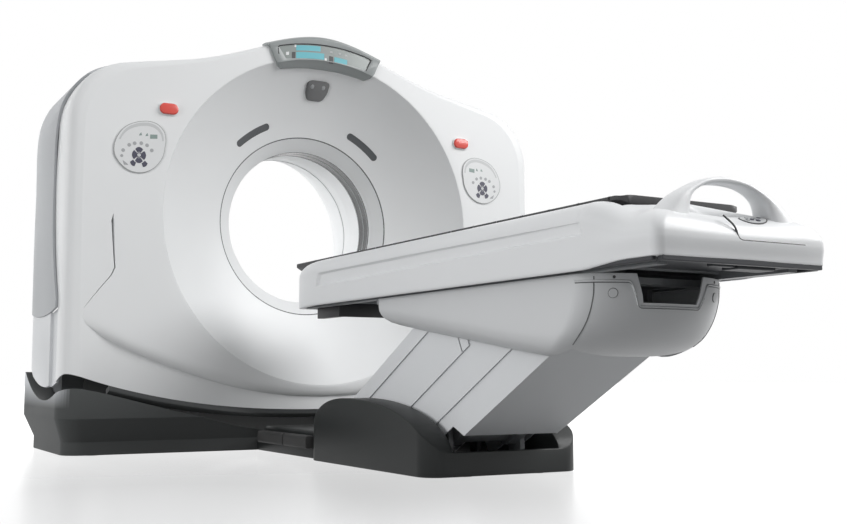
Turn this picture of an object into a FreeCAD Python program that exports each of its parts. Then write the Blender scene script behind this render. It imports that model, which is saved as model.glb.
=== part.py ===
import FreeCAD, Part
import math
import os
import re
import Sketcher
from FreeCAD import Placement, Rotation, Vector

# CT scanner: a tilting ring-shaped gantry with a rotor inside, and a patient
# table that rises on a parallelogram.  Millimetres.  +Z is up, +Y runs along the
# bore from the table's foot to the back of the gantry, and the origin lies on
# the floor under the middle of the whole machine.

os.makedirs("parts", exist_ok=True)
doc = FreeCAD.newDocument("ct_scanner")
sheet = doc.addObject("Spreadsheet::Sheet", "sizes")

SIZES = [
    # gantry as a whole
    ("iso_height", 1002, "height of the bore axis and of the tilt axis"),
    ("scan_y", 1057, "scan plane, which also holds the tilt axis"),
    ("gantry_front", 750, "front face of the gantry"),
    ("gantry_depth", 1000, "front face to rear face"),
    ("cover_half_width", 1105, "half width of the white covers"),
    ("crown_height", 824, "top of the white covers above the bore axis"),
    ("crown_rise", 79, "rise of the crown above the shoulders"),
    ("crown_half", 640, "half width of the crown"),
    ("crown_round", 150, "softness of the roof line at its middle"),
    ("shoulder_slope", 0.19, "fall of the shoulders per unit of width"),
    ("corner_radius", 260, "upper outer corner of the covers"),
    ("rear_round", 640, "circle that the rear outline draws in to"),
    ("cover_wall", 10, "thickness of the moulded covers"),
    ("trim_proud", 10, "how far the silver covers stand out"),
    ("seam", 0.8, "joint between two covers"),
    ("skirt_radius", 883, "lower edge of the covers about the tilt axis, middle"),
    ("skirt_rise", 146, "how much less it is at the sides"),
    ("scoop_radius", 954, "hollow top of the base about the tilt axis, middle"),
    ("tilt_gap", 45, "space between the covers and the base at the sides"),
    # bore
    ("bore_radius", 350, "patient opening at the scan plane"),
    ("lip_radius", 408, "inner edge of the front funnel"),
    ("lip_depth", 204, "front face to that edge"),
    ("dish_radius", 725, "outer edge of the front funnel"),
    ("dish_sag", 20, "hollow of the funnel's section"),
    ("funnel_wall", 8, "thickness of the funnels"),
    ("window_width", 107, "dark window round the bore"),
    ("window_wall", 4, "thickness of the window"),
    ("rear_radius", 520, "rear opening of the bore"),
    # tilt frame and rotor
    ("frame_y", 1232, "front face of the tilt frame's plate"),
    ("frame_plate", 30, "thickness of that plate"),
    ("frame_half", 905, "half width over the frame's cheeks"),
    ("cheek_plate", 35, "thickness of a cheek"),
    ("trunnion_radius", 60, "tilt pivots"),
    ("column_inner", 925, "inner face of a tilt column"),
    ("column_plate", 90, "width of a tilt column"),
    ("bearing_radius", 490, "running diameter of the main bearing, halved"),
    ("running_gap", 0.3, "space between the bearing's races"),
    ("rotor_radius", 775, "outside of the rotor plate"),
    ("rotor_bore", 430, "hole of the rotor plate"),
    ("rotor_y", 1150, "front face of the rotor plate"),
    ("rotor_plate_t", 22, "thickness of the rotor plate"),
    ("race_width", 50, "width of a bearing race"),
    ("focus_radius", 541, "focal spot of the tube from the bore axis"),
    ("detector_reach", 975, "focal spot to the detector's face"),
    ("detector_depth", 90, "detector housing, radially"),
    ("detector_half_angle", 27, "half of the fan, degrees"),
    # base
    ("base_half", 1113, "half width of the gantry base"),
    ("base_front", 755, "front wall of the gantry base"),
    ("base_length", 925, "front to rear of the gantry base"),
    ("base_top", 335, "height of the base's side walls"),
    ("base_wall", 12, "thickness of the base covers"),
    ("toe_height", 55, "height of the toe recess"),
    ("toe_depth", 95, "depth of the toe recess at the front"),
    ("base_plate", 16, "thickness of the steel base plates"),
    ("foot_height", 14, "levelling feet under the base plates"),
    ("foot_radius", 30, "radius of a levelling foot"),
    ("anchor_radius", 9, "floor anchor holes"),
    ("anchor_x", 950, "half spacing of the gantry's anchors across"),
    ("anchor_y", 300, "half spacing of the gantry's anchors along"),
    # table base and lift
    ("plinth_half", 300, "half width of the table base"),
    ("plinth_front", 222, "end of the table base next to the gantry"),
    ("plinth_end", -690, "foot end of the table base"),
    ("plinth_top", 240, "height of the table base's cheeks"),
    ("plinth_wall", 12, "thickness of those cheeks"),
    ("pivot_low", 120, "height of the lift's lower pivots"),
    ("front_pivot", 60, "lower front pivot"),
    ("rear_pivot", -536, "lower rear pivot"),
    ("link_length", 745, "pivot to pivot of a lift link"),
    ("link_angle", 28, "rise of the links at rest, degrees"),
    ("link_height", 64, "depth of a link arm"),
    ("link_x", 110, "middle of a link arm from the table's middle"),
    ("link_width", 40, "width of a link arm"),
    ("pin_radius", 20, "lift pivot pins"),
    ("pin_gap", 0.3, "clearance round the pins"),
    ("leg_half", 199, "half width of the leg covers"),
    ("leg_sheet", 4, "thickness of the leg covers"),
    ("leg_step", 6, "each leg cover lies this far inside the one before"),
    # table top
    ("hull_half", 250, "half width of the lower housing"),
    ("hull_top", 586, "upper edge of the lower housing"),
    ("hull_wall", 6, "thickness of the lower housing"),
    ("hull_nose", -215, "gantry end of the lower housing"),
    ("hull_end", -1480, "foot end of the lower housing"),
    ("bed_half", 289, "half width of the upper housing"),
    ("bed_bottom", 588, "lower edge of the upper housing"),
    ("bed_top", 775, "rim of the upper housing"),
    ("bed_head", 540, "gantry end of the upper housing"),
    ("bed_foot", -1750, "foot end of the upper housing"),
    ("bed_wall", 7, "thickness of the upper housing"),
    ("channel_half", 222, "half width of the channel that the cradle runs in"),
    ("channel_floor", 716, "floor of that channel"),
    ("cradle_half", 210, "half width of the cradle"),
    ("cradle_head", 580, "gantry end of the cradle"),
    ("cradle_length", 2110, "length of the cradle"),
    ("cradle_edge", 783, "height of the cradle's edges"),
    ("cradle_sag", 42, "hollow of the cradle"),
    ("cradle_wall", 16, "thickness of the cradle's shell"),
]
for row, (alias, number, meaning) in enumerate(SIZES, start=1):
    sheet.set("A%d" % row, alias)
    sheet.set("B%d" % row, str(number))
    sheet.setAlias("B%d" % row, alias)
    sheet.set("C%d" % row, meaning)
doc.recompute()

ALIAS = re.compile(r"\b(%s)\b" % "|".join(entry[0] for entry in SIZES))
PLANES = {"XY": "XY_Plane", "XZ": "XZ_Plane", "YZ": "YZ_Plane"}
TURNS = {
    "x": Rotation(Vector(0, 0, 1), Vector(1, 0, 0)),
    "y": Rotation(Vector(0, 0, 1), Vector(0, 1, 0)),
    "z": Rotation(),
}
nodes = {}


def size(text):
    """Number that an expression over the sheet's aliases has now."""
    result = sheet.evalExpression(ALIAS.sub(r"sizes.\1", text))
    return float(getattr(result, "Value", result))


def bind(thing, prop, text):
    """Ties a property to the sheet."""
    thing.setExpression(prop, ALIAS.sub(r"sizes.\1", text))


def place(thing, x, y, z):
    for axis, text in zip("xyz", (x, y, z)):
        bind(thing, "Placement.Base." + axis, text)


def keep(name, thing):
    """Registers a finished sub-part under the name of its file."""
    thing.Label = name
    nodes[name] = thing
    return thing


def box(name, x, y, z, length, width, height):
    thing = doc.addObject("Part::Box", name)
    bind(thing, "Length", length)
    bind(thing, "Width", width)
    bind(thing, "Height", height)
    place(thing, x, y, z)
    return thing


def rod(name, axis, x, y, z, radius, height):
    thing = doc.addObject("Part::Cylinder", name)
    thing.Placement = Placement(Vector(), TURNS[axis])
    bind(thing, "Radius", radius)
    bind(thing, "Height", height)
    place(thing, x, y, z)
    return thing


def fuse(name, *pieces):
    thing = doc.addObject("Part::MultiFuse", name)
    thing.Shapes = list(pieces)
    return thing


def cut(name, base, *tools):
    thing = doc.addObject("Part::Cut", name)
    thing.Base = base
    thing.Tool = tools[0] if len(tools) == 1 else fuse(name + "_tools", *tools)
    return thing


def common(name, *pieces):
    thing = doc.addObject("Part::MultiCommon", name)
    thing.Shapes = list(pieces)
    return thing


def solid(name, shape):
    """A form that no feature gives, its sizes read from the sheet."""
    thing = doc.addObject("Part::Feature", name)
    thing.Shape = shape
    return thing


def ring(name, axis, x, y, z, outer, inner, width):
    outside = rod(name + "_outside", axis, x, y, z, outer, width)
    inside = rod(name + "_inside", axis, x, y, z, inner, width)
    return cut(name, outside, inside)


def sketch(body, name, plane, points):
    """A closed outline whose corners are tied to the sheet."""
    flat = body.newObject("Sketcher::SketchObject", name)
    origin = [o for o in body.Origin.OriginFeatures if o.Role == PLANES[plane]][0]
    flat.AttachmentSupport = (origin, [""])
    flat.MapMode = "FlatFace"
    corners = [Vector(size(a), size(b), 0) for a, b in points]
    count = len(corners)
    for k in range(count):
        flat.addGeometry(Part.LineSegment(corners[k], corners[(k + 1) % count]), False)
    for k in range(count):
        flat.addConstraint(Sketcher.Constraint("Coincident", k, 2, (k + 1) % count, 1))
    for k, (a, b) in enumerate(points):
        for kind, text, number in (("DistanceX", a, corners[k].x), ("DistanceY", b, corners[k].y)):
            row = flat.addConstraint(Sketcher.Constraint(kind, -1, 1, k, 1, number))
            if ALIAS.search(text):
                bind(flat, "Constraints[%d]" % row, text)
    return flat


def pad(name, plane, points, length, x="0", y="0", z="0"):
    """An outline padded both ways from its plane."""
    body = doc.addObject("PartDesign::Body", name)
    feature = body.newObject("PartDesign::Pad", name + "_pad")
    feature.Profile = sketch(body, name + "_outline", plane, points)
    feature.SideType = "Symmetric"
    bind(feature, "Length", length)
    place(body, x, y, z)
    return body


# ---------------------------------------------------------------- gantry form

def roof(x, rise):
    """Height of the roof line above the bore axis at a distance x."""
    slope = size("shoulder_slope")
    soft = size("crown_round")
    top = size("crown_height") + rise
    fall = slope * (math.hypot(x, soft) - soft)
    reach = min(abs(x) / size("crown_half"), 1.0)
    return top - fall - size("crown_rise") * math.sin(0.5 * math.pi * reach) ** 2


def outline_points(grow):
    """Front view of the covers about the bore axis, lower right to lower left."""
    half = size("cover_half_width") + grow
    corner = size("corner_radius")
    turn = math.radians(90) - math.atan(size("shoulder_slope"))
    start = roof(half, grow) - corner * math.tan(turn / 2)
    low = 60 - size("iso_height")
    right = [(half, low), (half, low / 2), (half, 0), (half, start / 2), (half, start)]
    for step in (1, 2, 3, 4):
        angle = turn * step / 4
        right.append((half - corner + corner * math.cos(angle), start + corner * math.sin(angle)))
    last = right[-1][0]
    for share in (0.86, 0.72, 0.58, 0.46, 0.35, 0.24, 0.12, 0.0):
        x = last * share
        right.append((x, roof(x, grow)))
    left = [(-x, z) for x, z in reversed(right[:-1])]
    return right + left


def section(y, blend, grow):
    """Closed cross-section of the covers, drawn in by blend to a circle."""
    circle = size("rear_round")
    iso = size("iso_height")
    ring_points = []
    for x, z in outline_points(grow):
        far = math.hypot(x, z)
        share = (1 - blend) + blend * circle / far
        ring_points.append(Vector(x * share, y, iso + z * share))
    curve = Part.BSplineCurve()
    curve.interpolate(ring_points)
    foot = Part.LineSegment(ring_points[-1], ring_points[0])
    return Part.Wire([curve.toShape(), foot.toShape()])


FRONT_ROLL = [(0, 0.12), (7, 0.055), (26, 0.014), (62, 0.0)]
REAR_ROLL = [(-450, 0.0), (-320, 0.03), (-190, 0.13), (-90, 0.29), (-28, 0.46), (0, 0.62)]


def envelope(grow):
    """Closed solid of the covers, grown by a distance all round."""
    front = size("gantry_front")
    rear = front + size("gantry_depth")
    front_wires = [section(front + y - grow, b, grow) for y, b in FRONT_ROLL]
    rear_wires = [section(rear + y + grow, b, grow) for y, b in REAR_ROLL]
    nose = Part.makeLoft(front_wires, True, False)
    trunk = Part.makeLoft([front_wires[-1], rear_wires[0]], True, True)
    tail = Part.makeLoft(rear_wires, True, False)
    return nose.fuse([trunk, tail])


def barrel(rule, grow):
    """Solid about the tilt axis whose radius at each x a rule gives."""
    iso = size("iso_height")
    far = 1300
    stations = [far * k / 8 for k in range(-8, 9)]
    line = [Vector(x, size("scan_y"), iso + rule(abs(x)) + grow) for x in stations]
    curve = Part.BSplineCurve()
    curve.interpolate(line)
    first = Vector(-far, size("scan_y"), iso)
    last = Vector(far, size("scan_y"), iso)
    edges = [
        curve.toShape(),
        Part.LineSegment(line[-1], last).toShape(),
        Part.LineSegment(last, first).toShape(),
        Part.LineSegment(first, line[0]).toShape(),
    ]
    return Part.Face(Part.Wire(edges)).revolve(first, Vector(1, 0, 0), 360)


def skirt_rule(x):
    """Radius of the covers' lower edge about the tilt axis."""
    return size("skirt_radius") - size("skirt_rise") * (x / 1087) ** 2.33


def scoop_rule(x):
    """Radius of the base's hollow top about the tilt axis."""
    side = size("skirt_radius") - size("skirt_rise") + size("tilt_gap")
    fall = size("scoop_radius") - side
    reach = min(x / 1130, 1.0)
    return side + fall * (1 - reach ** 2.2) ** 1.6


def about_bore(points):
    """Solid of an outline (radius, y) turned about the bore axis."""
    corners = [Vector(r, y, size("iso_height")) for r, y in points]
    wire = Part.makePolygon(corners + corners[:1])
    axis = Vector(0, 0, size("iso_height"))
    return Part.Face(wire).revolve(axis, Vector(0, 1, 0), 360)


def dish_arc(thick):
    """Arc of the front funnel's section, moved back by a thickness."""
    iso = size("iso_height")
    rim = Vector(size("dish_radius"), size("gantry_front"), iso)
    lip = Vector(size("lip_radius"), size("gantry_front") + size("lip_depth"), iso)
    along = lip.sub(rim)
    normal = Vector(-along.y, along.x, 0)
    normal.normalize()
    if normal.y < 0:
        normal = normal.multiply(-1)
    shift = Vector(normal).multiply(thick)
    middle = rim.add(lip).multiply(0.5).add(Vector(normal).multiply(size("dish_sag")))
    return Part.Arc(rim.add(shift), middle.add(shift), lip.add(shift))


def dish_ring(front, back):
    """Ring between two offsets of the funnel's section."""
    near = dish_arc(front)
    far = dish_arc(back)
    edges = [
        near.toShape(),
        Part.LineSegment(near.EndPoint, far.EndPoint).toShape(),
        far.toShape(),
        Part.LineSegment(far.StartPoint, near.StartPoint).toShape(),
    ]
    wire = Part.Wire(Part.__sortEdges__(edges))
    axis = Vector(0, 0, size("iso_height"))
    return Part.Face(wire).revolve(axis, Vector(0, 1, 0), 360)


def prism_y(points, y, depth):
    """Outline in x and z pushed along y."""
    corners = [Vector(x, y, z) for x, z in points]
    wire = Part.makePolygon(corners + corners[:1])
    return Part.Face(wire).extrude(Vector(0, depth, 0))


wall = size("cover_wall")
proud = size("trim_proud")
seam = size("seam")
full = envelope(0)
skin = full.cut(envelope(-wall))
trim_full = envelope(proud)
trim_skin = trim_full.cut(envelope(proud - wall))
above = Part.makeBox(3000, 2000, 1500, Vector(-1500, 0, size("iso_height") - 150))
skirt = barrel(skirt_rule, 0).fuse(above)

# where the white front cover ends on the sides: a straight edge at the top and
# foot, bulging to the rear between them
EDGE_Y = size("gantry_front") + 122
BULGE = 117
BULGE_LOW = size("iso_height") - 370
BULGE_HIGH = size("iso_height") + 558


def front_zone(extra):
    """Room in front of that edge, moved back by an extra distance."""
    half_chord = (BULGE_HIGH - BULGE_LOW) / 2
    radius = (half_chord ** 2 + BULGE ** 2) / (2 * BULGE)
    middle = (BULGE_HIGH + BULGE_LOW) / 2
    flat = Part.makeBox(3000, 1000, 3000, Vector(-1500, EDGE_Y - 1000 + extra, -500))
    centre = Vector(-1500, EDGE_Y + BULGE - radius, middle)
    round_part = Part.makeCylinder(radius + extra, 3000, centre, Vector(1, 0, 0))
    band = Part.makeBox(3000, 2000, BULGE_HIGH - BULGE_LOW, Vector(-1500, 0, BULGE_LOW))
    return flat.fuse(round_part.common(band))


REAR_SEAM = size("gantry_front") + size("gantry_depth") - 250
dish_hole = Part.makeCylinder(size("dish_radius"), 400,
                              Vector(0, size("gantry_front") - 50, size("iso_height")), Vector(0, 1, 0))
rear_hole = Part.makeCylinder(size("rear_radius") + size("funnel_wall") + 0.3, 400,
                              Vector(0, REAR_SEAM, size("iso_height")), Vector(0, 1, 0))


# ---------------------------------------------------------------- gantry covers

STOP_X = 710
STOP_Z = 1420
STOP_LENGTH = 77
STOP_HEIGHT = 45
STOP_RIM = 5
STOP_GAP = 0.4


def oblong(x, z, length, height, y, depth):
    """Rounded-end block lying along x."""
    radius = height / 2 - 1
    block = Part.makeBox(length, depth, height, Vector(x - length / 2, y, z - height / 2))
    long_edges = [e for e in block.Edges if e.BoundBox.YLength > depth * 0.9]
    return block.makeFillet(radius, long_edges)


def front_cover():
    zone = front_zone(0)
    shape = skin.common(zone).common(skirt).cut(dish_hole)
    shape = shape.cut(dish_ring(0, size("funnel_wall") + 0.3))
    for side in (-1, 1):
        hole = oblong(side * STOP_X, STOP_Z, STOP_LENGTH + 2 * STOP_RIM, STOP_HEIGHT + 2 * STOP_RIM,
                      size("gantry_front") - 20, 60)
        shape = shape.cut(hole)
    return shape


keep("front_cover", solid("front_cover", front_cover()))

SLOT_RADIUS = 480
SLOT_WIDTH = 30
SLOT_FROM = 44
SLOT_TO = 66
SLOT_DEPTH = 5


def slot_prism(side, margin):
    """Curved slot seen along the bore."""
    iso = size("iso_height")
    inner = SLOT_RADIUS - SLOT_WIDTH / 2 + margin
    outer = SLOT_RADIUS + SLOT_WIDTH / 2 - margin
    steps = [math.radians(SLOT_FROM + (SLOT_TO - SLOT_FROM) * k / 8) for k in range(9)]
    rim = [(side * outer * math.cos(a), iso + outer * math.sin(a)) for a in steps]
    rim += [(side * inner * math.cos(a), iso + inner * math.sin(a)) for a in reversed(steps)]
    return prism_y(rim, size("gantry_front") - 50, 400)


def front_funnel():
    wall_back = size("funnel_wall")
    shape = dish_ring(0, wall_back)
    for side in (-1, 1):
        pocket = dish_ring(-1, SLOT_DEPTH).common(slot_prism(side, 0))
        shape = shape.cut(pocket)
    return shape


keep("front_funnel", solid("front_funnel", front_funnel()))
grilles = [dish_ring(SLOT_DEPTH - 3, SLOT_DEPTH).common(slot_prism(side, 0)) for side in (-1, 1)]
keep("funnel_grilles", solid("funnel_grilles", Part.makeCompound(grilles)))

lip_y = size("gantry_front") + size("lip_depth")
window_y = size("scan_y") - size("window_width") / 2
bore = size("bore_radius")
wall_f = size("funnel_wall")
bore_ring = about_bore([
    (size("lip_radius"), lip_y),
    (bore + 14, window_y - 16),
    (bore + 2, window_y - 6),
    (bore, window_y),
    (bore + wall_f, window_y),
    (bore + wall_f + 12, window_y - 8),
    (size("lip_radius") + wall_f, lip_y + 4),
])
keep("front_bore_ring", solid("front_bore_ring", bore_ring.cut(dish_ring(-1, size("funnel_wall")))))
keep("scan_window", ring("scan_window", "y", "0", "scan_y - window_width / 2", "iso_height",
                         "bore_radius + window_wall", "bore_radius", "window_width"))
rear_start = size("scan_y") + size("window_width") / 2
rear_end = size("gantry_front") + size("gantry_depth")
flare = size("rear_radius") - bore
flare_points = [(bore + flare * (k / 6) ** 2.2, rear_start + (rear_end - rear_start) * k / 6)
                for k in range(7)]
keep("rear_funnel", solid("rear_funnel", about_bore(
    flare_points + [(r + wall_f, y) for r, y in reversed(flare_points)])))

COLUMN_SLOT_TOP = 640
COLUMN_SLOT_IN = 905
COLUMN_SLOT_OUT = 1030


def rear_cover():
    zone = Part.makeBox(3000, 600, 3000, Vector(-1500, REAR_SEAM + seam, -500))
    shape = skin.common(zone).common(skirt).cut(rear_hole)
    for side in (-1, 1):
        left = COLUMN_SLOT_IN if side > 0 else -COLUMN_SLOT_OUT
        slot = Part.makeBox(COLUMN_SLOT_OUT - COLUMN_SLOT_IN, 600, COLUMN_SLOT_TOP,
                            Vector(left, REAR_SEAM - 50, 0))
        shape = shape.cut(slot)
    return shape


keep("rear_cover", solid("rear_cover", rear_cover()))

TRIM_CURVE = 1500
TRIM_LOW = 565
TRIM_MID_Y = 1150


def lower_edge(extra):
    """Large cylinder whose underside is the lower edge of the silver covers."""
    centre = Vector(-1500, TRIM_MID_Y, TRIM_LOW + TRIM_CURVE)
    return Part.makeCylinder(TRIM_CURVE + extra, 3000, centre, Vector(1, 0, 0))


def side_cover():
    zone = Part.makeBox(1500, REAR_SEAM - 700, 3000, Vector(seam / 2, 700, 0))
    return trim_skin.common(zone).common(lower_edge(0)).cut(front_zone(seam))


PANEL_FRONT = 975


def lower_panel():
    behind = Part.makeBox(1500, REAR_SEAM - PANEL_FRONT, 900, Vector(0, PANEL_FRONT, 0))
    sunk = Part.makeBox(1500, PANEL_FRONT + 12 - EDGE_Y - seam, 900, Vector(0, EDGE_Y + seam, 0))
    outer = envelope(6).cut(envelope(-4)).common(behind)
    inner = envelope(-4).cut(envelope(-12)).common(sunk)
    return outer.fuse(inner).common(skirt).cut(lower_edge(seam)).cut(front_zone(seam))


right_side = side_cover()
right_panel = lower_panel()
flip = Vector(1, 0, 0)
keep("side_cover_right", solid("side_cover_right", right_side))
keep("side_cover_left", solid("side_cover_left", right_side.mirror(Vector(), flip)))
keep("lower_panel_right", solid("lower_panel_right", right_panel))
keep("lower_panel_left", solid("lower_panel_left", right_panel.mirror(Vector(), flip)))

doc.recompute()

STOP_PROUD = 14
STOP_BACK = 4
collars = []
for side in (-1, 1):
    front = size("gantry_front")
    rim = oblong(side * STOP_X, STOP_Z, STOP_LENGTH + 2 * STOP_RIM - 0.4,
                 STOP_HEIGHT + 2 * STOP_RIM - 0.4, front - 6, 6 + wall)
    hole = oblong(side * STOP_X, STOP_Z, STOP_LENGTH + 2 * STOP_GAP, STOP_HEIGHT + 2 * STOP_GAP,
                  front - 20, 60)
    collars.append(rim.cut(hole))
    button = oblong(side * STOP_X, STOP_Z, STOP_LENGTH, STOP_HEIGHT, front - STOP_PROUD,
                    STOP_PROUD + STOP_BACK)
    name = "stop_button_right" if side > 0 else "stop_button_left"
    keep(name, solid(name, button))
keep("stop_collars", solid("stop_collars", Part.makeCompound(collars)))

PANEL_X = 820
PANEL_Z = 1253
PANEL_RADIUS = 116
PANEL_POINT = 0.07
PANEL_PLATE = 5


def control_panel(side):
    """Egg-shaped key panel, its narrow end down."""
    points = []
    for step in range(24):
        angle = 2 * math.pi * step / 24
        radius = PANEL_RADIUS * (1 + PANEL_POINT * math.sin(angle) * math.cos(angle / 2 - 0.8))
        points.append(Vector(side * (PANEL_X + radius * math.cos(angle)),
                             size("gantry_front") - PANEL_PLATE, PANEL_Z + radius * math.sin(angle)))
    curve = Part.BSplineCurve()
    curve.interpolate(points, PeriodicFlag=True)
    face = Part.Face(Part.Wire(curve.toShape()))
    return face.extrude(Vector(0, PANEL_PLATE, 0))


keep("control_panel_right", solid("control_panel_right", control_panel(1)))
keep("control_panel_left", solid("control_panel_left", control_panel(-1)))

BEZEL_PROUD = 12
BEZEL_EDGE = [(0, 1691), (70, 1689), (127, 1682), (175, 1674), (204, 1667), (226, 1674), (242, 1694),
              (262, 1740), (276, 1766), (290, 1800)]
BEZEL_TOP = 1890
BEZEL_DEPTH = 60
SCREEN_DEPTH = 4
SCREEN_SUNK = 3


def mirrored_outline(points):
    """Outline in x and z from its right half, listed from the bottom up."""
    return points + [(-x, z) for x, z in reversed(points) if x > 0]


def dish_room(gap):
    """Solid inside the front funnel, a gap from its surface, out to the front."""
    arc = dish_arc(-gap)
    iso = size("iso_height")
    mouth = size("gantry_front") - BEZEL_DEPTH
    front = Vector(0, mouth, iso)
    rim = Vector(arc.StartPoint.x, mouth, iso)
    deep = Vector(0, arc.EndPoint.y, iso)
    edges = [arc.toShape()]
    for start, end in ((arc.EndPoint, deep), (deep, front), (front, rim), (rim, arc.StartPoint)):
        edges.append(Part.LineSegment(start, end).toShape())
    return Part.Face(Part.Wire(edges)).revolve(Vector(0, 0, iso), Vector(0, 1, 0), 360)


bezel_outline = mirrored_outline(BEZEL_EDGE + [(290, BEZEL_TOP)])
bezel_zone = prism_y(bezel_outline, size("gantry_front") - 40, 40 + BEZEL_DEPTH)
covers_there = full.common(bezel_zone).cut(dish_room(0))
bezel_solid = envelope(BEZEL_PROUD).common(bezel_zone).cut(covers_there).cut(dish_room(BEZEL_PROUD))
SCREEN_HALF = 230
SCREEN_LOW_HALF = 195
SCREEN_LOW = 1724
SCREEN_HIGH = 1791
screen_low = []
screen_high = []
for share in (0, 0.25, 0.5, 0.75, 1):
    screen_low.append((SCREEN_LOW_HALF * share, SCREEN_LOW - 17 * share ** 2))
    screen_high.append((SCREEN_HALF * share, SCREEN_HIGH - 34 * share ** 2))
screen_outline = mirrored_outline(screen_low + list(reversed(screen_high)))
screen_zone = prism_y(screen_outline, size("gantry_front") - 40, 60)
screen_front = size("gantry_front") - BEZEL_PROUD
screen_slab = Part.makeBox(600, SCREEN_DEPTH, 300, Vector(-300, screen_front + SCREEN_SUNK, 1600))
pocket_depth = SCREEN_SUNK + SCREEN_DEPTH + 20
pocket_slab = Part.makeBox(600, pocket_depth, 300, Vector(-300, screen_front - 20, 1600))
keep("display_bezel", solid("display_bezel", bezel_solid.cut(screen_zone.common(pocket_slab))))
keep("display_screen", solid("display_screen", screen_slab.common(screen_zone)))

CAMERA_Z = 1607
camera_outline = [(-38, CAMERA_Z - 39), (38, CAMERA_Z - 39), (54, CAMERA_Z - 20), (57, CAMERA_Z + 18),
                  (40, CAMERA_Z + 36), (0, CAMERA_Z + 40), (-40, CAMERA_Z + 36), (-57, CAMERA_Z + 18),
                  (-54, CAMERA_Z - 20)]
camera_zone = prism_y(camera_outline, size("gantry_front") - 50, 400)
keep("camera_module", solid("camera_module", dish_ring(-10, 0).common(camera_zone)))

# ---------------------------------------------------------------- tilt frame

frame_disc = rod("frame_disc", "y", "0", "frame_y", "iso_height", "bearing_radius + 400", "frame_plate")
frame_sheet = box("frame_sheet", "-frame_half", "frame_y", "iso_height - 640", "2 * frame_half",
                  "frame_plate", "1280")
frame_arms = box("frame_arms", "-cover_half_width - 50", "frame_y", "iso_height + 420",
                 "2 * cover_half_width + 100", "frame_plate", "70")
inside_covers = solid("inside_covers", envelope(-0.3))
frame_ears = common("frame_ears", frame_arms, inside_covers)
frame_hole = rod("frame_hole", "y", "0", "frame_y - 1", "iso_height", "bearing_radius - 50",
                 "frame_plate + 2")
frame_blank = common("frame_blank", frame_disc, frame_sheet)
cheeks = []
for side, start in (("left", "-frame_half"), ("right", "frame_half - cheek_plate")):
    cheek = box("cheek_" + side, start, "scan_y - 90", "iso_height - 150", "cheek_plate",
                "frame_y + frame_plate - scan_y + 90", "300")
    cheeks.append(cheek)
pins = [
    rod("trunnion_left", "x", "-column_inner - column_plate", "scan_y", "iso_height",
        "trunnion_radius - running_gap", "column_inner + column_plate - frame_half + 1"),
    rod("trunnion_right", "x", "frame_half - 1", "scan_y", "iso_height",
        "trunnion_radius - running_gap", "column_inner + column_plate - frame_half + 1"),
]
frame_body = fuse("frame_body", frame_blank, frame_ears, *cheeks, *pins)
keep("tilt_frame", cut("tilt_frame", frame_body, frame_hole))
keep("bearing_outer", ring("bearing_outer", "y", "0", "frame_y - race_width", "iso_height",
                           "bearing_radius + 70", "bearing_radius", "race_width"))
keep("drive_stator", ring("drive_stator", "y", "0", "frame_y - 42", "iso_height",
                          "bearing_radius + 172", "bearing_radius + 130", "42"))
keep("brush_block", box("brush_block", "-60", "rotor_y + rotor_plate_t + 28.5",
                        "iso_height + bearing_radius + 76", "120",
                        "frame_y - rotor_y - rotor_plate_t - 28.5", "24"))

# tilt columns: the web leans back below so that the swinging covers pass it
COLUMN_PROFILE = [("130", "-972"), ("330", "-972"), ("330", "-800"), ("300", "-700"), ("100", "40"),
                  ("50", "100"), ("-50", "100"), ("-100", "40"), ("-100", "-60"), ("130", "-640")]
COLUMN_MIDDLES = {"left": "-column_inner - column_plate / 2", "right": "column_inner + column_plate / 2"}
for side, middle in COLUMN_MIDDLES.items():
    web = pad("column_web_" + side, "YZ", COLUMN_PROFILE, "column_plate", middle, "scan_y", "iso_height")
    bore_x = "-column_inner - column_plate - 5" if side == "left" else "column_inner - 5"
    eye = rod("column_eye_" + side, "x", bore_x, "scan_y", "iso_height", "trunnion_radius",
              "column_plate + 10")
    name = "tilt_column_" + side
    keep(name, cut(name, web, eye))
gear_case = box("gear_case", "-column_inner - column_plate - 50", "scan_y - 75", "iso_height - 75",
                "50", "150", "150")
gear_motor = rod("gear_motor", "z", "-column_inner - column_plate - 30", "scan_y", "iso_height + 74",
                 "28", "150")
keep("tilt_gearmotor", fuse("tilt_gearmotor", gear_case, gear_motor))

# ---------------------------------------------------------------- rotor

rotor_disc = ring("rotor_disc", "y", "0", "rotor_y", "iso_height", "rotor_radius", "rotor_bore",
                  "rotor_plate_t")
magnet_ring = ring("magnet_ring", "y", "0", "rotor_y + rotor_plate_t - 1", "iso_height",
                   "bearing_radius + 127", "bearing_radius + 112", "46")
keep("rotor_plate", fuse("rotor_plate", rotor_disc, magnet_ring))
keep("bearing_inner", ring("bearing_inner", "y", "0", "rotor_y + rotor_plate_t", "iso_height",
                           "bearing_radius - running_gap", "bearing_radius - 50", "race_width"))
keep("slip_ring", ring("slip_ring", "y", "0", "rotor_y + rotor_plate_t", "iso_height",
                       "bearing_radius + 104", "bearing_radius + 74", "28"))
tube_can = rod("tube_can", "y", "0", "rotor_y - 195", "iso_height + focus_radius + 64", "120", "195")
tube_foot = box("tube_foot", "-150", "rotor_y - 60", "iso_height + focus_radius - 40", "300", "60", "180")
tube_snout = box("tube_snout", "-60", "scan_y - 50", "iso_height + focus_radius - 62", "120",
                 "rotor_y - scan_y + 50", "60")
keep("xray_tube", fuse("xray_tube", tube_can, tube_foot, tube_snout))
keep("collimator", box("collimator", "-110", "scan_y - 55", "iso_height + rotor_bore + 6", "220",
                       "rotor_y - scan_y + 55", "focus_radius - rotor_bore - 68"))


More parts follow.
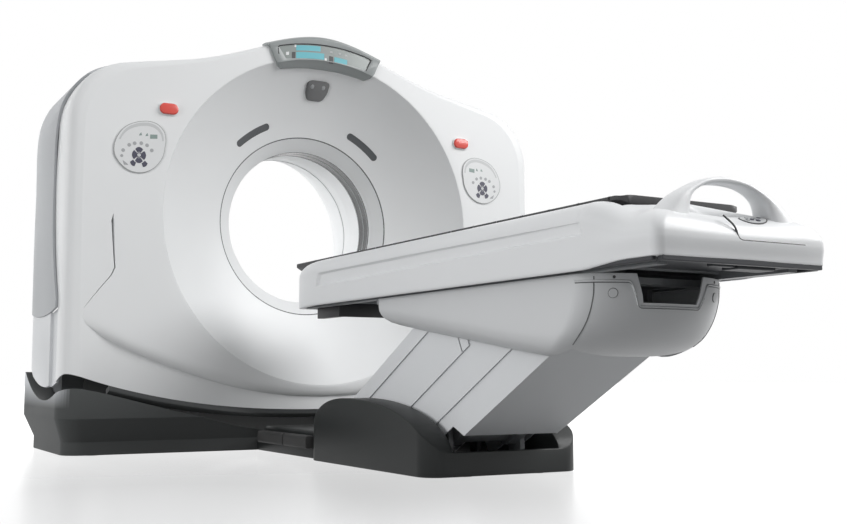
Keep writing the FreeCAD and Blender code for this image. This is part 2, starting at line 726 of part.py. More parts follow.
def detector_arc():
    """Arc of detector modules centred on the focal spot, ribbed along its back."""
    iso = size("iso_height")
    focus = iso + size("focus_radius")
    near = size("detector_reach")
    far = near + size("detector_depth")
    limit = math.radians(size("detector_half_angle"))
    depth = size("rotor_y") - size("scan_y") + 57

    def spot(radius, angle):
        return Vector(radius * math.sin(angle), size("scan_y") - 57, focus - radius * math.cos(angle))

    inner = Part.Arc(spot(near, -limit), spot(near, 0), spot(near, limit))
    outer = Part.Arc(spot(far, -limit), spot(far, 0), spot(far, limit))
    sides = [Part.LineSegment(spot(near, a), spot(far, a)) for a in (-limit, limit)]
    wire = Part.Wire(Part.__sortEdges__([c.toShape() for c in (inner, outer, *sides)]))
    body = Part.Face(wire).extrude(Vector(0, depth, 0))
    modules = 19
    for k in range(1, modules):
        angle = -limit + 2 * limit * k / modules
        a, b = spot(far - 16, angle - 0.0035), spot(far - 16, angle + 0.0035)
        c, d = spot(far + 5, angle + 0.0035), spot(far + 5, angle - 0.0035)
        groove = Part.Face(Part.makePolygon([a, b, c, d, a])).extrude(Vector(0, 100, 0))
        body = body.cut(groove)
    return body


keep("detector_arc", solid("detector_arc", detector_arc()))
keep("hv_generator", box("hv_generator", "-705", "rotor_y - 150", "iso_height - 160", "235", "150", "400"))
keep("heat_exchanger", box("heat_exchanger", "470", "rotor_y - 140", "iso_height - 120",
                           "210", "140", "360"))

# ---------------------------------------------------------------- gantry base

def round_plan(half, front, rear, front_round, rear_round, z):
    """Closed wire at a height: a rectangle with rounded corners, symmetrical about x = 0."""
    def bend(x, y, radius, turn):
        middle = math.radians(turn + 45)
        start = math.radians(turn)
        end = math.radians(turn + 90)
        turns = (start, middle, end)
        return Part.Arc(*[Vector(x + radius * math.cos(a), y + radius * math.sin(a), z) for a in turns])

    bends = [
        bend(half - front_round, front + front_round, front_round, -90),
        bend(half - rear_round, rear - rear_round, rear_round, 0),
        bend(-half + rear_round, rear - rear_round, rear_round, 90),
        bend(-half + front_round, front + front_round, front_round, 180),
    ]
    edges = []
    for this, after in zip(bends, bends[1:] + bends[:1]):
        edges.append(this.toShape())
        edges.append(Part.LineSegment(this.EndPoint, after.StartPoint).toShape())
    return Part.Wire(edges)


def base_plan(inset, z):
    """Plan of the base's walls, drawn in by an inset."""
    front = size("base_front")
    return round_plan(size("base_half") - inset, front + inset, front + size("base_length") - inset,
                      BASE_FRONT_ROUND - inset, BASE_REAR_ROUND - inset, z)


def toe_plan(inset, z):
    """Plan of the base where it stands, set back at the front and sides."""
    front = size("base_front") + size("toe_depth")
    rear = size("base_front") + size("base_length") - TOE_SIDE
    return round_plan(size("base_half") - TOE_SIDE - inset, front + inset, rear - inset,
                      TOE_FRONT_ROUND - inset, TOE_REAR_ROUND - inset, z)


def upright(wire, height):
    return Part.Face(wire).extrude(Vector(0, 0, height))


BASE_FRONT_ROUND = 90
BASE_REAR_ROUND = 220
TOE_SIDE = 44
TOE_FRONT_ROUND = 80
TOE_REAR_ROUND = 180
TOE_SLOPE_TOP = 150
TOE_WALL = 16
HOLLOW_INSET = 72
HOLLOW_GAP = 0.3
toe_front = size("base_front") + size("toe_depth")
scoop = barrel(scoop_rule, 0)
scoop_inside = barrel(scoop_rule, size("base_wall"))
walls = upright(base_plan(0, TOE_SLOPE_TOP), size("base_top") - TOE_SLOPE_TOP)
slope = Part.makeLoft([toe_plan(0, size("toe_height")), base_plan(0, TOE_SLOPE_TOP)], True, True)
stand = upright(toe_plan(0, 2), size("toe_height") - 2)
base_shell = walls.fuse([slope, stand]).cut(scoop)
hollow = upright(base_plan(HOLLOW_INSET, -5), size("base_top") - size("base_wall") + 5)
hollow = hollow.common(upright(toe_plan(TOE_WALL, -5), 500)).cut(scoop_inside)
for side in (-1, 1):
    left = size("column_inner") - 6 if side > 0 else -(size("column_inner") + size("column_plate") + 6)
    column_room = Part.makeBox(size("column_plate") + 12, 212, 600, Vector(left, size("scan_y") + 124, 10))
    hollow = hollow.fuse(column_room)
keep("gantry_base_cover", solid("gantry_base_cover", base_shell.cut(hollow)))
plate_top = size("foot_height") + size("base_plate")
plate_shape = upright(base_plan(HOLLOW_INSET + HOLLOW_GAP, size("foot_height")), size("base_plate"))
plate_room = upright(toe_plan(TOE_WALL + HOLLOW_GAP, 0), plate_top)
plate = solid("base_sheet", plate_shape.common(plate_room))
feet = []
holes = []
for left_or_right in ("-", ""):
    for front_or_rear in ("-", "+"):
        tag = "%d" % len(feet)
        x = left_or_right + "anchor_x"
        y = "scan_y + 140 " + front_or_rear + " anchor_y"
        feet.append(rod("base_foot" + tag, "z", x, y, "0", "foot_radius", "foot_height + 1"))
        holes.append(rod("base_anchor" + tag, "z", x, y, "-1", "anchor_radius", "60"))
keep("gantry_base_frame", cut("gantry_base_frame", fuse("base_weldment", plate, *feet), *holes))

# ---------------------------------------------------------------- table base


def spline_face(points, closing):
    """Face in the YZ plane between a smooth curve and straight closing corners."""
    curve = Part.BSplineCurve()
    curve.interpolate([Vector(0, y, z) for y, z in points])
    edges = [curve.toShape()]
    corners = [points[-1]] + closing + [points[0]]
    for (ya, za), (yb, zb) in zip(corners, corners[1:]):
        edges.append(Part.LineSegment(Vector(0, ya, za), Vector(0, yb, zb)).toShape())
    return Part.Face(Part.Wire(edges))


def polygon_face(points):
    """Face in the YZ plane with straight sides."""
    corners = [Vector(0, y, z) for y, z in points]
    return Part.Face(Part.makePolygon(corners + corners[:1]))


def across(face, half):
    """Pushes a YZ face out to both sides of the middle."""
    return face.translated(Vector(-half, 0, 0)).extrude(Vector(2 * half, 0, 0))


def x_bar(x_from, x_to, y, z, radius):
    return Part.makeCylinder(radius, x_to - x_from, Vector(x_from, y, z), Vector(1, 0, 0))


def block(x_from, x_to, y_from, y_to, z_from, z_to):
    return Part.makeBox(x_to - x_from, y_to - y_from, z_to - z_from, Vector(x_from, y_from, z_from))


def both_sides(shape):
    return shape.fuse(shape.mirror(Vector(), Vector(1, 0, 0)))


WELL_HALF = 205
PLINTH_FLOOR = 2
FOOT_BAR_TOP = 80


def rounded_block(x_half, y_from, y_to, z_from, z_to, radius):
    """Block across the middle with rounded upright corners."""
    body = block(-x_half, x_half, y_from, y_to, z_from, z_to)
    return body.makeFillet(radius, [e for e in body.Edges if e.BoundBox.ZLength > z_to - z_from - 1])


def plinth():
    """Low side cheeks that fall away to the foot end, open in the middle."""
    front = size("plinth_front")
    end = size("plinth_end")
    top = size("plinth_top")
    back = [(front, 20), (front - 26, 110), (front - 75, 182), (front - 160, top - 18), (-110, top),
            (-330, top - 12), (-520, top - 50), (end + 60, top - 98), (end + 12, top - 140), (end, 20)]
    body = across(spline_face(back, [(end, PLINTH_FLOOR), (front, PLINTH_FLOOR)]), size("plinth_half"))
    body = body.common(rounded_block(size("plinth_half"), end, front, 0, 400, 70))
    lining = size("plinth_wall")
    well = block(-WELL_HALF, WELL_HALF, end + lining, front - lining - 14, -10, 400)
    leg_way = block(-WELL_HALF, WELL_HALF, end - 1, end + lining + 1, FOOT_BAR_TOP, 400)
    return body.cut(well).cut(leg_way)


keep("table_base_cover", solid("table_base_cover", plinth()))

SPREAD = math.sin(math.radians(size("link_angle")))
PIVOT_Y = [size("front_pivot"), size("front_pivot") - 30 / SPREAD,
           size("front_pivot") - 157 / SPREAD, size("rear_pivot")]
STUB_RADIUS = 8
LUG_IN = 132
LUG_OUT = 150
HULL_PIVOT = [(y - size("link_length") * math.cos(math.radians(size("link_angle"))),
               size("pivot_low") + size("link_length") * SPREAD) for y in PIVOT_Y]
LAYER = [size("leg_half") - size("leg_step") * k for k in range(4)]


def base_pins():
    """The two link pins right across, and the short pins of the middle covers."""
    low = size("pivot_low")
    made = [x_bar(-LUG_OUT, LUG_OUT, PIVOT_Y[k], low, size("pin_radius")) for k in (0, 3)]
    for k in (1, 2):
        made.append(both_sides(x_bar(LUG_IN, LAYER[k], PIVOT_Y[k], low, STUB_RADIUS)))
    return made


FLOOR_Z = size("foot_height")
DECK_Z = FLOOR_Z + 12


def table_base_frame():
    low = size("pivot_low")
    inside = LAYER[3] - size("leg_sheet") - 3
    end = size("plinth_end") + size("plinth_wall") + 0.3
    front = size("plinth_front") - size("plinth_wall") - 14.3
    deck = block(-inside, inside, end, front, FLOOR_Z, DECK_Z)
    wide = WELL_HALF - 0.3
    deck = deck.fuse([block(-wide, wide, end, end + 40, FLOOR_Z, DECK_Z),
                      block(-wide, wide, front - 60, front, FLOOR_Z, DECK_Z)])
    pieces = []
    for y_from, y_to in ((PIVOT_Y[1] - 36, PIVOT_Y[0] + 36), (PIVOT_Y[2] - 22, PIVOT_Y[2] + 22),
                         (PIVOT_Y[3] - 35, PIVOT_Y[3] + 35)):
        pieces.append(both_sides(block(LUG_IN, LUG_OUT, y_from, y_to, DECK_Z - 1, low + 30)))
    pieces += base_pins()
    for y in (front - 34, end + 34):
        for x in (-140, 140):
            pieces.append(Part.makeCylinder(30, FLOOR_Z + 1, Vector(x, y, 0)))
    return deck.fuse(pieces)


TABLE_ANCHOR_X = 100
TABLE_ANCHOR_Y = (80, -450)


def anchored(shape):
    for y in TABLE_ANCHOR_Y:
        for x in (-TABLE_ANCHOR_X, TABLE_ANCHOR_X):
            shape = shape.cut(Part.makeCylinder(size("anchor_radius"), 60, Vector(x, y, -1)))
    return shape


keep("table_base_frame", solid("table_base_frame", anchored(table_base_frame())))

LINK_HALF = 262
LINK_TOP = 108
LINK_TONGUE = size("toe_height") - 4


def floor_link():
    start = size("plinth_front") + 0.3
    beam = block(-LINK_HALF, LINK_HALF, start, size("base_front") - 0.3, PLINTH_FLOOR, LINK_TOP)
    rim = [e for e in beam.Edges if e.BoundBox.YLength > 100 and e.CenterOfMass.z > LINK_TOP - 1]
    tongue = block(-LINK_HALF, LINK_HALF, start + 100, toe_front - 0.3, PLINTH_FLOOR, LINK_TONGUE)
    return beam.makeFillet(14, rim).fuse(tongue)


keep("floor_link", solid("floor_link", floor_link()))
PEDAL_GAP = 0.5
PEDAL_OUT = 304
PEDAL_LOW = 42
PEDAL_HIGH = 90
PEDAL_HEEL = 6


def pedal(y_from, y_to):
    """Foot pedal whose round heel, next to the floor link, is its hinge."""
    shape = block(-PEDAL_OUT, -LINK_HALF - PEDAL_GAP, y_from, y_to, PEDAL_LOW, PEDAL_HIGH)
    edges = [e for e in shape.Edges if e.BoundBox.YLength > 100]
    tips = [e for e in edges if e.CenterOfMass.x < -PEDAL_OUT + 1]
    shape = shape.makeFillet(10, tips)
    heel = [e for e in shape.Edges if e.BoundBox.YLength > 100 and e.CenterOfMass.x > -LINK_HALF - 1
            and e.CenterOfMass.z < PEDAL_LOW + 1]
    return shape.makeFillet(PEDAL_HEEL, heel)


keep("pedal_raise", solid("pedal_raise", pedal(size("plinth_front") + 245, size("gantry_front") - 15)))
keep("pedal_lower", solid("pedal_lower", pedal(size("plinth_front") + 12, size("plinth_front") + 235)))

# ---------------------------------------------------------------- lift


def on_pivot(shape, number):
    """Turns a piece drawn along -Y from its lower pivot to the links' rest angle."""
    turned_shape = shape.rotated(Vector(), Vector(1, 0, 0), -size("link_angle"))
    return turned_shape.translated(Vector(0, PIVOT_Y[number], size("pivot_low")))


def link_shape(number, post_from, post_to, post_places):
    length = size("link_length")
    half_depth = size("link_height") / 2
    left = size("link_x") - size("link_width") / 2
    right = size("link_x") + size("link_width") / 2
    arm = block(left, right, -length, 0, -half_depth, half_depth)
    arm = arm.fuse([x_bar(left, right, 0, 0, half_depth), x_bar(left, right, -length, 0, half_depth)])
    for y in post_places:
        arm = arm.fuse(block(left, right, y - 25, y + 25, post_from, post_to))
    hole = size("pin_radius") + size("pin_gap")
    arm = arm.cut(x_bar(left - 5, right + 5, 0, 0, hole)).cut(x_bar(left - 5, right + 5, -length, 0, hole))
    tube = x_bar(-left - 1, left + 1, -length * 0.55, 0, 24)
    return on_pivot(both_sides(arm).fuse(tube), number)


COVER_UP = [91, 84, 112, 112]
COVER_DOWN = [-33, 98, 91, 74]
COVER_LOW_END = 20
COVER_HIGH_END = 24
post_high = COVER_UP[0] - size("leg_sheet")
post_low = COVER_DOWN[3] - size("leg_sheet")
keep("front_link", solid("front_link", link_shape(0, 20, post_high, (-120, -600))))
keep("rear_link", solid("rear_link", link_shape(3, -post_low, -20, (-260, -600))))

WEB_START = 165
WEB_END = 700


def leg_cover(number):
    """Side plates of one strip of the leg, with a web on the outer two."""
    outer = LAYER[number]
    thick = size("leg_sheet")
    length = size("link_length")
    up = COVER_UP[number]
    down = -COVER_DOWN[number]
    high_end = -length - COVER_HIGH_END
    plate_piece = block(outer - thick, outer, high_end, COVER_LOW_END, down, up)
    if number in (1, 2):
        for y in (0, -length):
            plate_piece = plate_piece.cut(x_bar(outer - 20, outer + 5, y, 0, STUB_RADIUS + size("pin_gap")))
    if number == 3:
        corner = polygon_face([(COVER_LOW_END + 1, -20), (45 - WEB_START, -20), (-WEB_START, down - 1),
                               (COVER_LOW_END + 1, down - 1)])
        plate_piece = plate_piece.cut(across(corner, 400))
    strip = both_sides(plate_piece)
    if number == 0:
        strip = strip.fuse(block(-outer, outer, -WEB_END, COVER_LOW_END, up - thick, up))
    if number == 3:
        strip = strip.fuse(block(-outer, outer, high_end, -WEB_START, down, down + thick))
    return on_pivot(strip, number)


for number in range(4):
    name = "leg_cover_%d" % (number + 1)
    keep(name, solid(name, leg_cover(number)))


def lift_gearmotor():
    y = size("front_pivot")
    low = size("pivot_low")
    case = block(-60, 60, y - 50, y + 50, DECK_Z, low + 50)
    motor = Part.makeCylinder(46, 190, Vector(0, y - 49, low - 40), Vector(0, -1, 0))
    return case.fuse(motor).cut(x_bar(-70, 70, y, low, size("pin_radius")))


keep("lift_gearmotor", solid("lift_gearmotor", lift_gearmotor()))

# ---------------------------------------------------------------- lower housing

HULL_ROUND = 70
HULL_CORNER = 80
BELLY = [(-120, 486), (-312, 484), (-460, 468), (-820, 420), (-1130, 378), (-1290, 364), (-1560, 360)]
# side view of the ends: distance from the end and height, with a keel clear of the belly between
HULL_NOSE = [(8, 545), (40, 515), (110, 492)]
HULL_KEEL = [(-460, 462), (-820, 400), (-1130, 350)]
HULL_TAIL = [(220, 352), (100, 400), (30, 470), (0, 540)]


def tub_section(y, bottom, half, top, radius):
    """Open-topped section with rounded lower corners, closed along its top."""
    slant = radius * (1 - math.sqrt(0.5))
    points = {
        "a": Vector(-half, y, top), "b": Vector(-half, y, bottom + radius),
        "c": Vector(-half + slant, y, bottom + slant), "d": Vector(-half + radius, y, bottom),
        "e": Vector(half - radius, y, bottom), "f": Vector(half - slant, y, bottom + slant),
        "g": Vector(half, y, bottom + radius), "h": Vector(half, y, top),
    }
    p = points
    edges = [Part.LineSegment(p["a"], p["b"]), Part.Arc(p["b"], p["c"], p["d"]),
             Part.LineSegment(p["d"], p["e"]), Part.Arc(p["e"], p["f"], p["g"]),
             Part.LineSegment(p["g"], p["h"]), Part.LineSegment(p["h"], p["a"])]
    return Part.Wire([e.toShape() for e in edges])


def hull_solid(inset):
    """Boat-shaped housing, drawn in by an inset."""
    nose = size("hull_nose") - inset
    end = size("hull_end") + inset
    half = size("hull_half") - inset
    top = size("hull_top") + inset * 4
    wires = [tub_section(y, z + inset, half, top, HULL_ROUND - inset) for y, z in BELLY]
    tub = Part.makeLoft(wires, True, False)
    under_nose = [(nose - back, z + inset) for back, z in HULL_NOSE]
    under_belly = [(y, z + inset) for y, z in HULL_KEEL]
    under_end = [(end + ahead, z + inset) for ahead, z in HULL_TAIL]
    ends = [(nose, top)] + under_nose + under_belly + under_end + [(end, top)]
    side = across(spline_face(ends, []), half + 10)
    plan = rounded_block(half + 1, end - 1, 0, 200, 800, HULL_CORNER - inset)
    return tub.common(side).common(plan)


CAP_Y = size("hull_end") + 190
hull_full = hull_solid(0)
hull_room = hull_solid(size("hull_wall"))
hull_skin = hull_full.cut(hull_room).common(block(-400, 400, -1600, 0, 300, size("hull_top")))
leg_mouth = block(-WELL_HALF, WELL_HALF, CAP_Y - 15, size("hull_nose") - 24, 300, 534)
keep("lower_housing", solid("lower_housing", hull_skin.common(
    block(-400, 400, CAP_Y + seam / 2, 0, 300, 600)).cut(leg_mouth)))
NOTCH = [(-135, 590), (135, 590), (104, 507), (-104, 507)]
cap_notch = prism_y(NOTCH, size("hull_end") - 20, 120)
keep("lower_end_cap", solid("lower_end_cap", hull_skin.common(
    block(-400, 400, -1600, CAP_Y - seam / 2, 300, 600)).cut(leg_mouth).cut(cap_notch)))


LUG_HALF = 34
OUTER_LUG = 12


def carriage_frame():
    """Ladder frame in the lower housing, with lugs and pins for the lift."""
    top = size("hull_top")
    left = LAYER[0] + 6
    right = size("hull_half") - size("hull_wall") - 0.3
    nose = size("hull_nose") - 22
    tail = size("hull_end") + 90
    low = top - 18
    pieces = [
        block(-right, right, nose - 36, nose, low, top),
        block(-right, right, tail, tail + 60, low, top),
        both_sides(block(left, right, tail, nose, low, top)),
    ]
    for k, (y, z) in enumerate(HULL_PIVOT):
        if k in (0, 3):
            lug = block(LUG_IN, LUG_OUT, y - LUG_HALF, y + LUG_HALF, z - 28, top - 1)
            if k == 0:
                bar = block(LUG_IN, right, y - LUG_HALF, y + LUG_HALF, low, top)
            else:
                bar = block(LUG_IN, LUG_OUT, tail, y + LUG_HALF, low, top)
            pieces.append(x_bar(-LUG_OUT, LUG_OUT, y, z, size("pin_radius")))
            pieces.append(both_sides(lug.fuse(bar)))
        else:
            lug = block(left, left + OUTER_LUG, y - 20, y + 20, z - STUB_RADIUS - 1, low + 1)
            pin = x_bar(LAYER[k] - size("leg_sheet"), left + 1, y, z, STUB_RADIUS)
            pieces.append(both_sides(lug.fuse(pin)))
    return pieces[0].fuse(pieces[1:])


keep("carriage_frame", solid("carriage_frame", carriage_frame()))

# ---------------------------------------------------------------- upper housing

HEAD_HALF = 209
HEAD_ROUND = 80
BED_TAPER = 330
BED_TAPER_START = 150
BED_TAPER_IN = 24
BED_TAPER_ROUND = 300
BED_HEAD_ROUND = 60
BED_FOOT_ROUND = 50
SHOULDER_Y = -1546
FOOT_RIM = 705


def bed_block(inset, low, high):
    """Block of the upper housing's plan, narrower at the gantry end."""
    head = size("bed_head") - inset
    foot = size("bed_foot") + inset
    half = size("bed_half") - inset
    narrow = HEAD_HALF - inset
    waist = half - BED_TAPER_IN
    plan = [(-narrow, head), (narrow, head), (waist, head - BED_TAPER_START), (half, head - BED_TAPER),
            (half, foot), (-half, foot), (-half, head - BED_TAPER), (-waist, head - BED_TAPER_START)]
    corners = [Vector(x, y, low) for x, y in plan]
    body = Part.Face(Part.makePolygon(corners + corners[:1])).extrude(Vector(0, 0, high - low))

    def corner_edges(y_from, y_to):
        return [e for e in body.Edges if e.BoundBox.ZLength > 10 and y_from < e.CenterOfMass.y < y_to]

    body = body.makeFillet(BED_HEAD_ROUND - inset, corner_edges(head - 1, head + 1))
    taper = corner_edges(head - BED_TAPER - 10, head - BED_TAPER_START + 10)
    body = body.makeFillet(BED_TAPER_ROUND, taper)
    return body.makeFillet(BED_FOOT_ROUND - inset, corner_edges(foot - 1, foot + 1))


SHOULDER_ROUND = 60


def shoulders():
    """What is rounded off the two long upper edges."""
    half = size("bed_half")
    high = size("bed_top")
    centre = high - SHOULDER_ROUND
    corner = block(half - SHOULDER_ROUND, half + 40, size("bed_foot") - 10, 700, centre, high + 40)
    start = Vector(half - SHOULDER_ROUND, -1800, centre)
    bar = Part.makeCylinder(SHOULDER_ROUND, 2600, start, Vector(0, 1, 0))
    return both_sides(corner.cut(bar))


RECESS_DEPTH = 12
RECESS = [(190, 676), (150, 656), (-1440, 678), (-1466, 697), (-1440, 718), (150, 710), (182, 700)]
ROLLER_SLOT = (262, 338)


def bed_shell():
    """Upper housing: a hollow tray with a channel on top and a recess in each side."""
    low = size("bed_bottom")
    high = size("bed_top")
    head = size("bed_head")
    bed_wall = size("bed_wall")
    body = bed_block(0, low, high)
    top_rim = [e for e in body.Edges if e.CenterOfMass.z > high - 1 and e.BoundBox.ZLength < 1]
    body = body.makeFillet(26, top_rim)
    room_top = size("channel_floor") - bed_wall
    room = bed_block(bed_wall, low - 20, 646).cut(block(-400, 400, head - HEAD_ROUND, 900, 0, 646))
    upper_room = bed_block(bed_wall + RECESS_DEPTH, 640, room_top)
    channel_half = size("channel_half")
    channel = block(-channel_half, channel_half, SHOULDER_Y, 700, size("channel_floor"), 900)
    foot = size("bed_foot") - 5
    fall = [(SHOULDER_Y, high + 1), (foot, FOOT_RIM), (foot, 900), (SHOULDER_Y, 900)]
    foot_fall = across(polygon_face(fall), 400)
    slot = block(-36, 36, ROLLER_SLOT[0], ROLLER_SLOT[1], low, 800)
    chin = block(-400, 400, head - HEAD_ROUND, 700, low - 30, low + HEAD_ROUND).cut(
        x_bar(-401, 401, head - HEAD_ROUND, low + HEAD_ROUND, HEAD_ROUND))
    recess = across(polygon_face(RECESS), 400)
    recess = recess.cut(bed_block(RECESS_DEPTH, low - 1, high + 1))
    for tool in (room, upper_room, channel, foot_fall, slot, foot_seat(0), chin, recess, shoulders()):
        body = body.cut(tool)
    return body


FOOT_COVER_HALF = 262
FOOT_COVER_LOW = 686
FOOT_COVER_FRONT = -1552


def foot_seat(gap):
    return block(-FOOT_COVER_HALF + gap, FOOT_COVER_HALF - gap, size("bed_foot") - 10 + gap,
                 FOOT_COVER_FRONT - gap, FOOT_COVER_LOW + gap, 900)


keep("upper_housing", solid("upper_housing", bed_shell()))

ARCH_Y = -1675
ARCH_DEPTH = 58
ARCH_HALF = 200
ARCH_TOP = 820
ARCH_HOLE_HALF = 88
ARCH_HOLE_TOP = 799
ARCH_ROUND = 12
DECK_TOP = 742
# right half of the hoop's outline and of its hole, from the top down
ARCH_OUTER = [(0, ARCH_TOP), (70, 811), (140, 778), (ARCH_HALF, DECK_TOP - 4)]
ARCH_INNER = [(0, ARCH_HOLE_TOP), (36, 794), (70, 776), (ARCH_HOLE_HALF, DECK_TOP - 4)]
KEYPAD_SLOPE = 15
KEYPAD_RADIUS = 38
KEYPAD_THICK = 8
KEYPAD_SPOT = (70, -1614, 745)


def arch():
    """Hoop handle across the foot end."""
    def fill(points):
        curve = Part.BSplineCurve()
        mirror_half = [(-x, z) for x, z in reversed(points) if x > 0]
        whole = mirror_half + points
        curve.interpolate([Vector(x, ARCH_Y - ARCH_DEPTH / 2, z) for x, z in whole])
        base = Part.LineSegment(curve.EndPoint, curve.StartPoint).toShape()
        return Part.Face(Part.Wire([curve.toShape(), base]))

    hoop = fill(ARCH_OUTER).extrude(Vector(0, ARCH_DEPTH, 0))
    hole = fill(ARCH_INNER).translated(Vector(0, -10, 0)).extrude(Vector(0, ARCH_DEPTH + 20, 0))
    rim = [e for e in hoop.Edges if e.BoundBox.XLength > 2 * ARCH_HALF - 1 and e.BoundBox.ZLength > 20]
    return hoop.makeFillet(ARCH_ROUND, rim).cut(hole)


def foot_cover():
    foot = size("bed_foot")
    profile = [(FOOT_COVER_FRONT - 0.3, FOOT_COVER_LOW + 0.3), (FOOT_COVER_FRONT - 0.3, 772),
               (FOOT_COVER_FRONT - 60, 756), (ARCH_Y + 40, DECK_TOP), (foot + 30, DECK_TOP - 8),
               (foot + 4, DECK_TOP - 26), (foot, DECK_TOP - 50), (foot, FOOT_COVER_LOW + 0.3)]
    corners = [Vector(0, y, z) for y, z in profile]
    body = across(Part.Face(Part.makePolygon(corners + corners[:1])), FOOT_COVER_HALF - 0.3)
    outer = bed_block(0, 600, 900)
    return body.common(outer).cut(shoulders()).fuse(arch())


def foot_keypad():
    """Oval key pad lying on the slope in front of the arch."""
    disc = Part.makeCylinder(KEYPAD_RADIUS, KEYPAD_THICK)
    squeeze = FreeCAD.Matrix()
    squeeze.scale(1.25, 0.8, 1)
    disc = disc.transformGeometry(squeeze)
    disc.rotate(Vector(), Vector(1, 0, 0), KEYPAD_SLOPE)
    disc.translate(Vector(*KEYPAD_SPOT))
    return disc


keypad = foot_keypad()
keep("foot_cover", solid("foot_cover", foot_cover().cut(keypad)))
keep("foot_keypad", solid("foot_keypad", keypad))


RIB_PLACES = (372, 180, -360, -900, -1440, size("bed_foot") + 66)
RIB_HALF = 6


def bed_frame():
    """Steel frame of the upper housing on the carriage rails."""
    left = LAYER[0] + 7
    right = size("hull_half") - size("hull_wall") - 6
    low = size("hull_top") + 0.4
    floor = size("channel_floor") - size("bed_wall") - 0.3
    pieces = [both_sides(block(left, right, size("bed_foot") + 60, 380, low, low + 50))]
    for y in RIB_PLACES:
        top = floor if y > FOOT_COVER_FRONT else FOOT_COVER_LOW - size("bed_wall") - 0.3
        pieces.append(block(-right, right, y - RIB_HALF, y + RIB_HALF, low + 14, top))
    return pieces[0].fuse(pieces[1:])


keep("bed_frame", solid("bed_frame", bed_frame()))


def cradle_face(y, drop):
    """Section of the cradle: a shallow trough with thin edges."""
    half = size("cradle_half")
    edge = size("cradle_edge")
    sag = size("cradle_sag")
    thick = size("cradle_wall")
    up = Part.Arc(Vector(-half, y, edge - drop), Vector(0, y, edge - sag), Vector(half, y, edge - drop))
    under = Part.Arc(Vector(-half, y, edge - thick), Vector(0, y, edge - sag - thick),
                     Vector(half, y, edge - thick))
    edges = [up.toShape(), Part.LineSegment(up.EndPoint, under.EndPoint).toShape(), under.toShape(),
             Part.LineSegment(under.StartPoint, up.StartPoint).toShape()]
    return Part.Face(Part.Wire(Part.__sortEdges__(edges)))


def corner_points(half, end, way, radius):
    """Points round one plan corner, the first moved out past the side."""
    points = []
    for step in range(5):
        angle = math.radians(22.5 * step)
        points.append(Vector(half - radius + radius * math.cos(angle),
                             end + way * radius * (math.sin(angle) - 1), 600))
    points[0] = points[0].add(points[0].sub(points[1]).multiply(10 / (points[0].x - points[1].x)))
    return points


def cradle():
    """Trough with rounded corners, wider ones at the head."""
    head = size("cradle_head")
    length = size("cradle_length")
    half = size("cradle_half")
    body = cradle_face(head - length, 0).extrude(Vector(0, length, 0))
    right = corner_points(half, head, 1, 90)
    right = list(reversed(corner_points(half, head - length, -1, 30))) + right
    left = [Vector(-p.x, p.y, p.z) for p in reversed(right)]
    corners = right + left
    plan = Part.Face(Part.makePolygon(corners + corners[:1])).extrude(Vector(0, 0, 300))
    return body.common(plan)


keep("cradle", solid("cradle", cradle()))
RUNNER_X = 60
RUNNER_HALF = 12
runner_top = (size("cradle_edge") - size("cradle_sag") - size("cradle_wall")
              + size("cradle_sag") * ((RUNNER_X - RUNNER_HALF) / size("cradle_half")) ** 2 - 0.3)
runner = block(RUNNER_X - RUNNER_HALF, RUNNER_X + RUNNER_HALF, SHOULDER_Y + 20, 440,
               size("channel_floor"), runner_top)
keep("cradle_runners", solid("cradle_runners", both_sides(runner)))
ROLLER_Y = 300
ROLLER_RADIUS = 30
ROLLER_HALF = 30
ROLLER_Z = size("cradle_edge") - size("cradle_sag") - size("cradle_wall") - ROLLER_RADIUS - 0.3
roller_drum = x_bar(-ROLLER_HALF, ROLLER_HALF, ROLLER_Y, ROLLER_Z, ROLLER_RADIUS)
roller_stub = x_bar(ROLLER_HALF - 1, ROLLER_HALF + 15, ROLLER_Y, ROLLER_Z, 10)
keep("drive_roller", solid("drive_roller", roller_drum.fuse(roller_stub)))
motor_gear = block(ROLLER_HALF + 15.3, ROLLER_HALF + 60, ROLLER_Y - 40, ROLLER_Y + 40,
                   ROLLER_Z - 50, size("channel_floor") - size("bed_wall") - 0.3)
motor_can = x_bar(ROLLER_HALF + 59, ROLLER_HALF + 160, ROLLER_Y, ROLLER_Z - 22, 26)
keep("cradle_motor", solid("cradle_motor", motor_gear.fuse(motor_can)))
BRACKET_HALF = 180
bracket_top = size("hull_top") + 14.4
bracket = block(-BRACKET_HALF, BRACKET_HALF, 205, 410, 548, bracket_top)
bracket = bracket.cut(block(-150, 150, 225, 420, 540, 640))
bracket_bar = block(-BRACKET_HALF, BRACKET_HALF, 366, 378, bracket_top - 12, bracket_top)
keep("head_bracket", solid("head_bracket", bracket.fuse(bracket_bar)))

# ---------------------------------------------------------------- files

doc.recompute()
for thing in doc.Objects:
    if "Invalid" in thing.State or "Error" in thing.State:
        raise RuntimeError("%s did not compute" % thing.Name)
for name, thing in nodes.items():
    if thing.Shape.isNull() or not thing.Shape.isValid():
        raise RuntimeError("%s has no valid shape" % name)
for name, thing in nodes.items():
    thing.Shape.exportStep("parts/%s.step" % name)
print("%d sub-parts" % len(nodes))
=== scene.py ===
"""CT scanner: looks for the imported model, in the model's own frame.

After the camera, the light, the materials and the mesh tools, the sections follow the machine: covers,
funnel, key panels, display, camera module, bore rings, table top, cradle, lower housing, legs and
finishes. Forms are drawn in millimetres; add_object turns them into metres. The bore lies along y.
"""

import bisect
import functools
import math

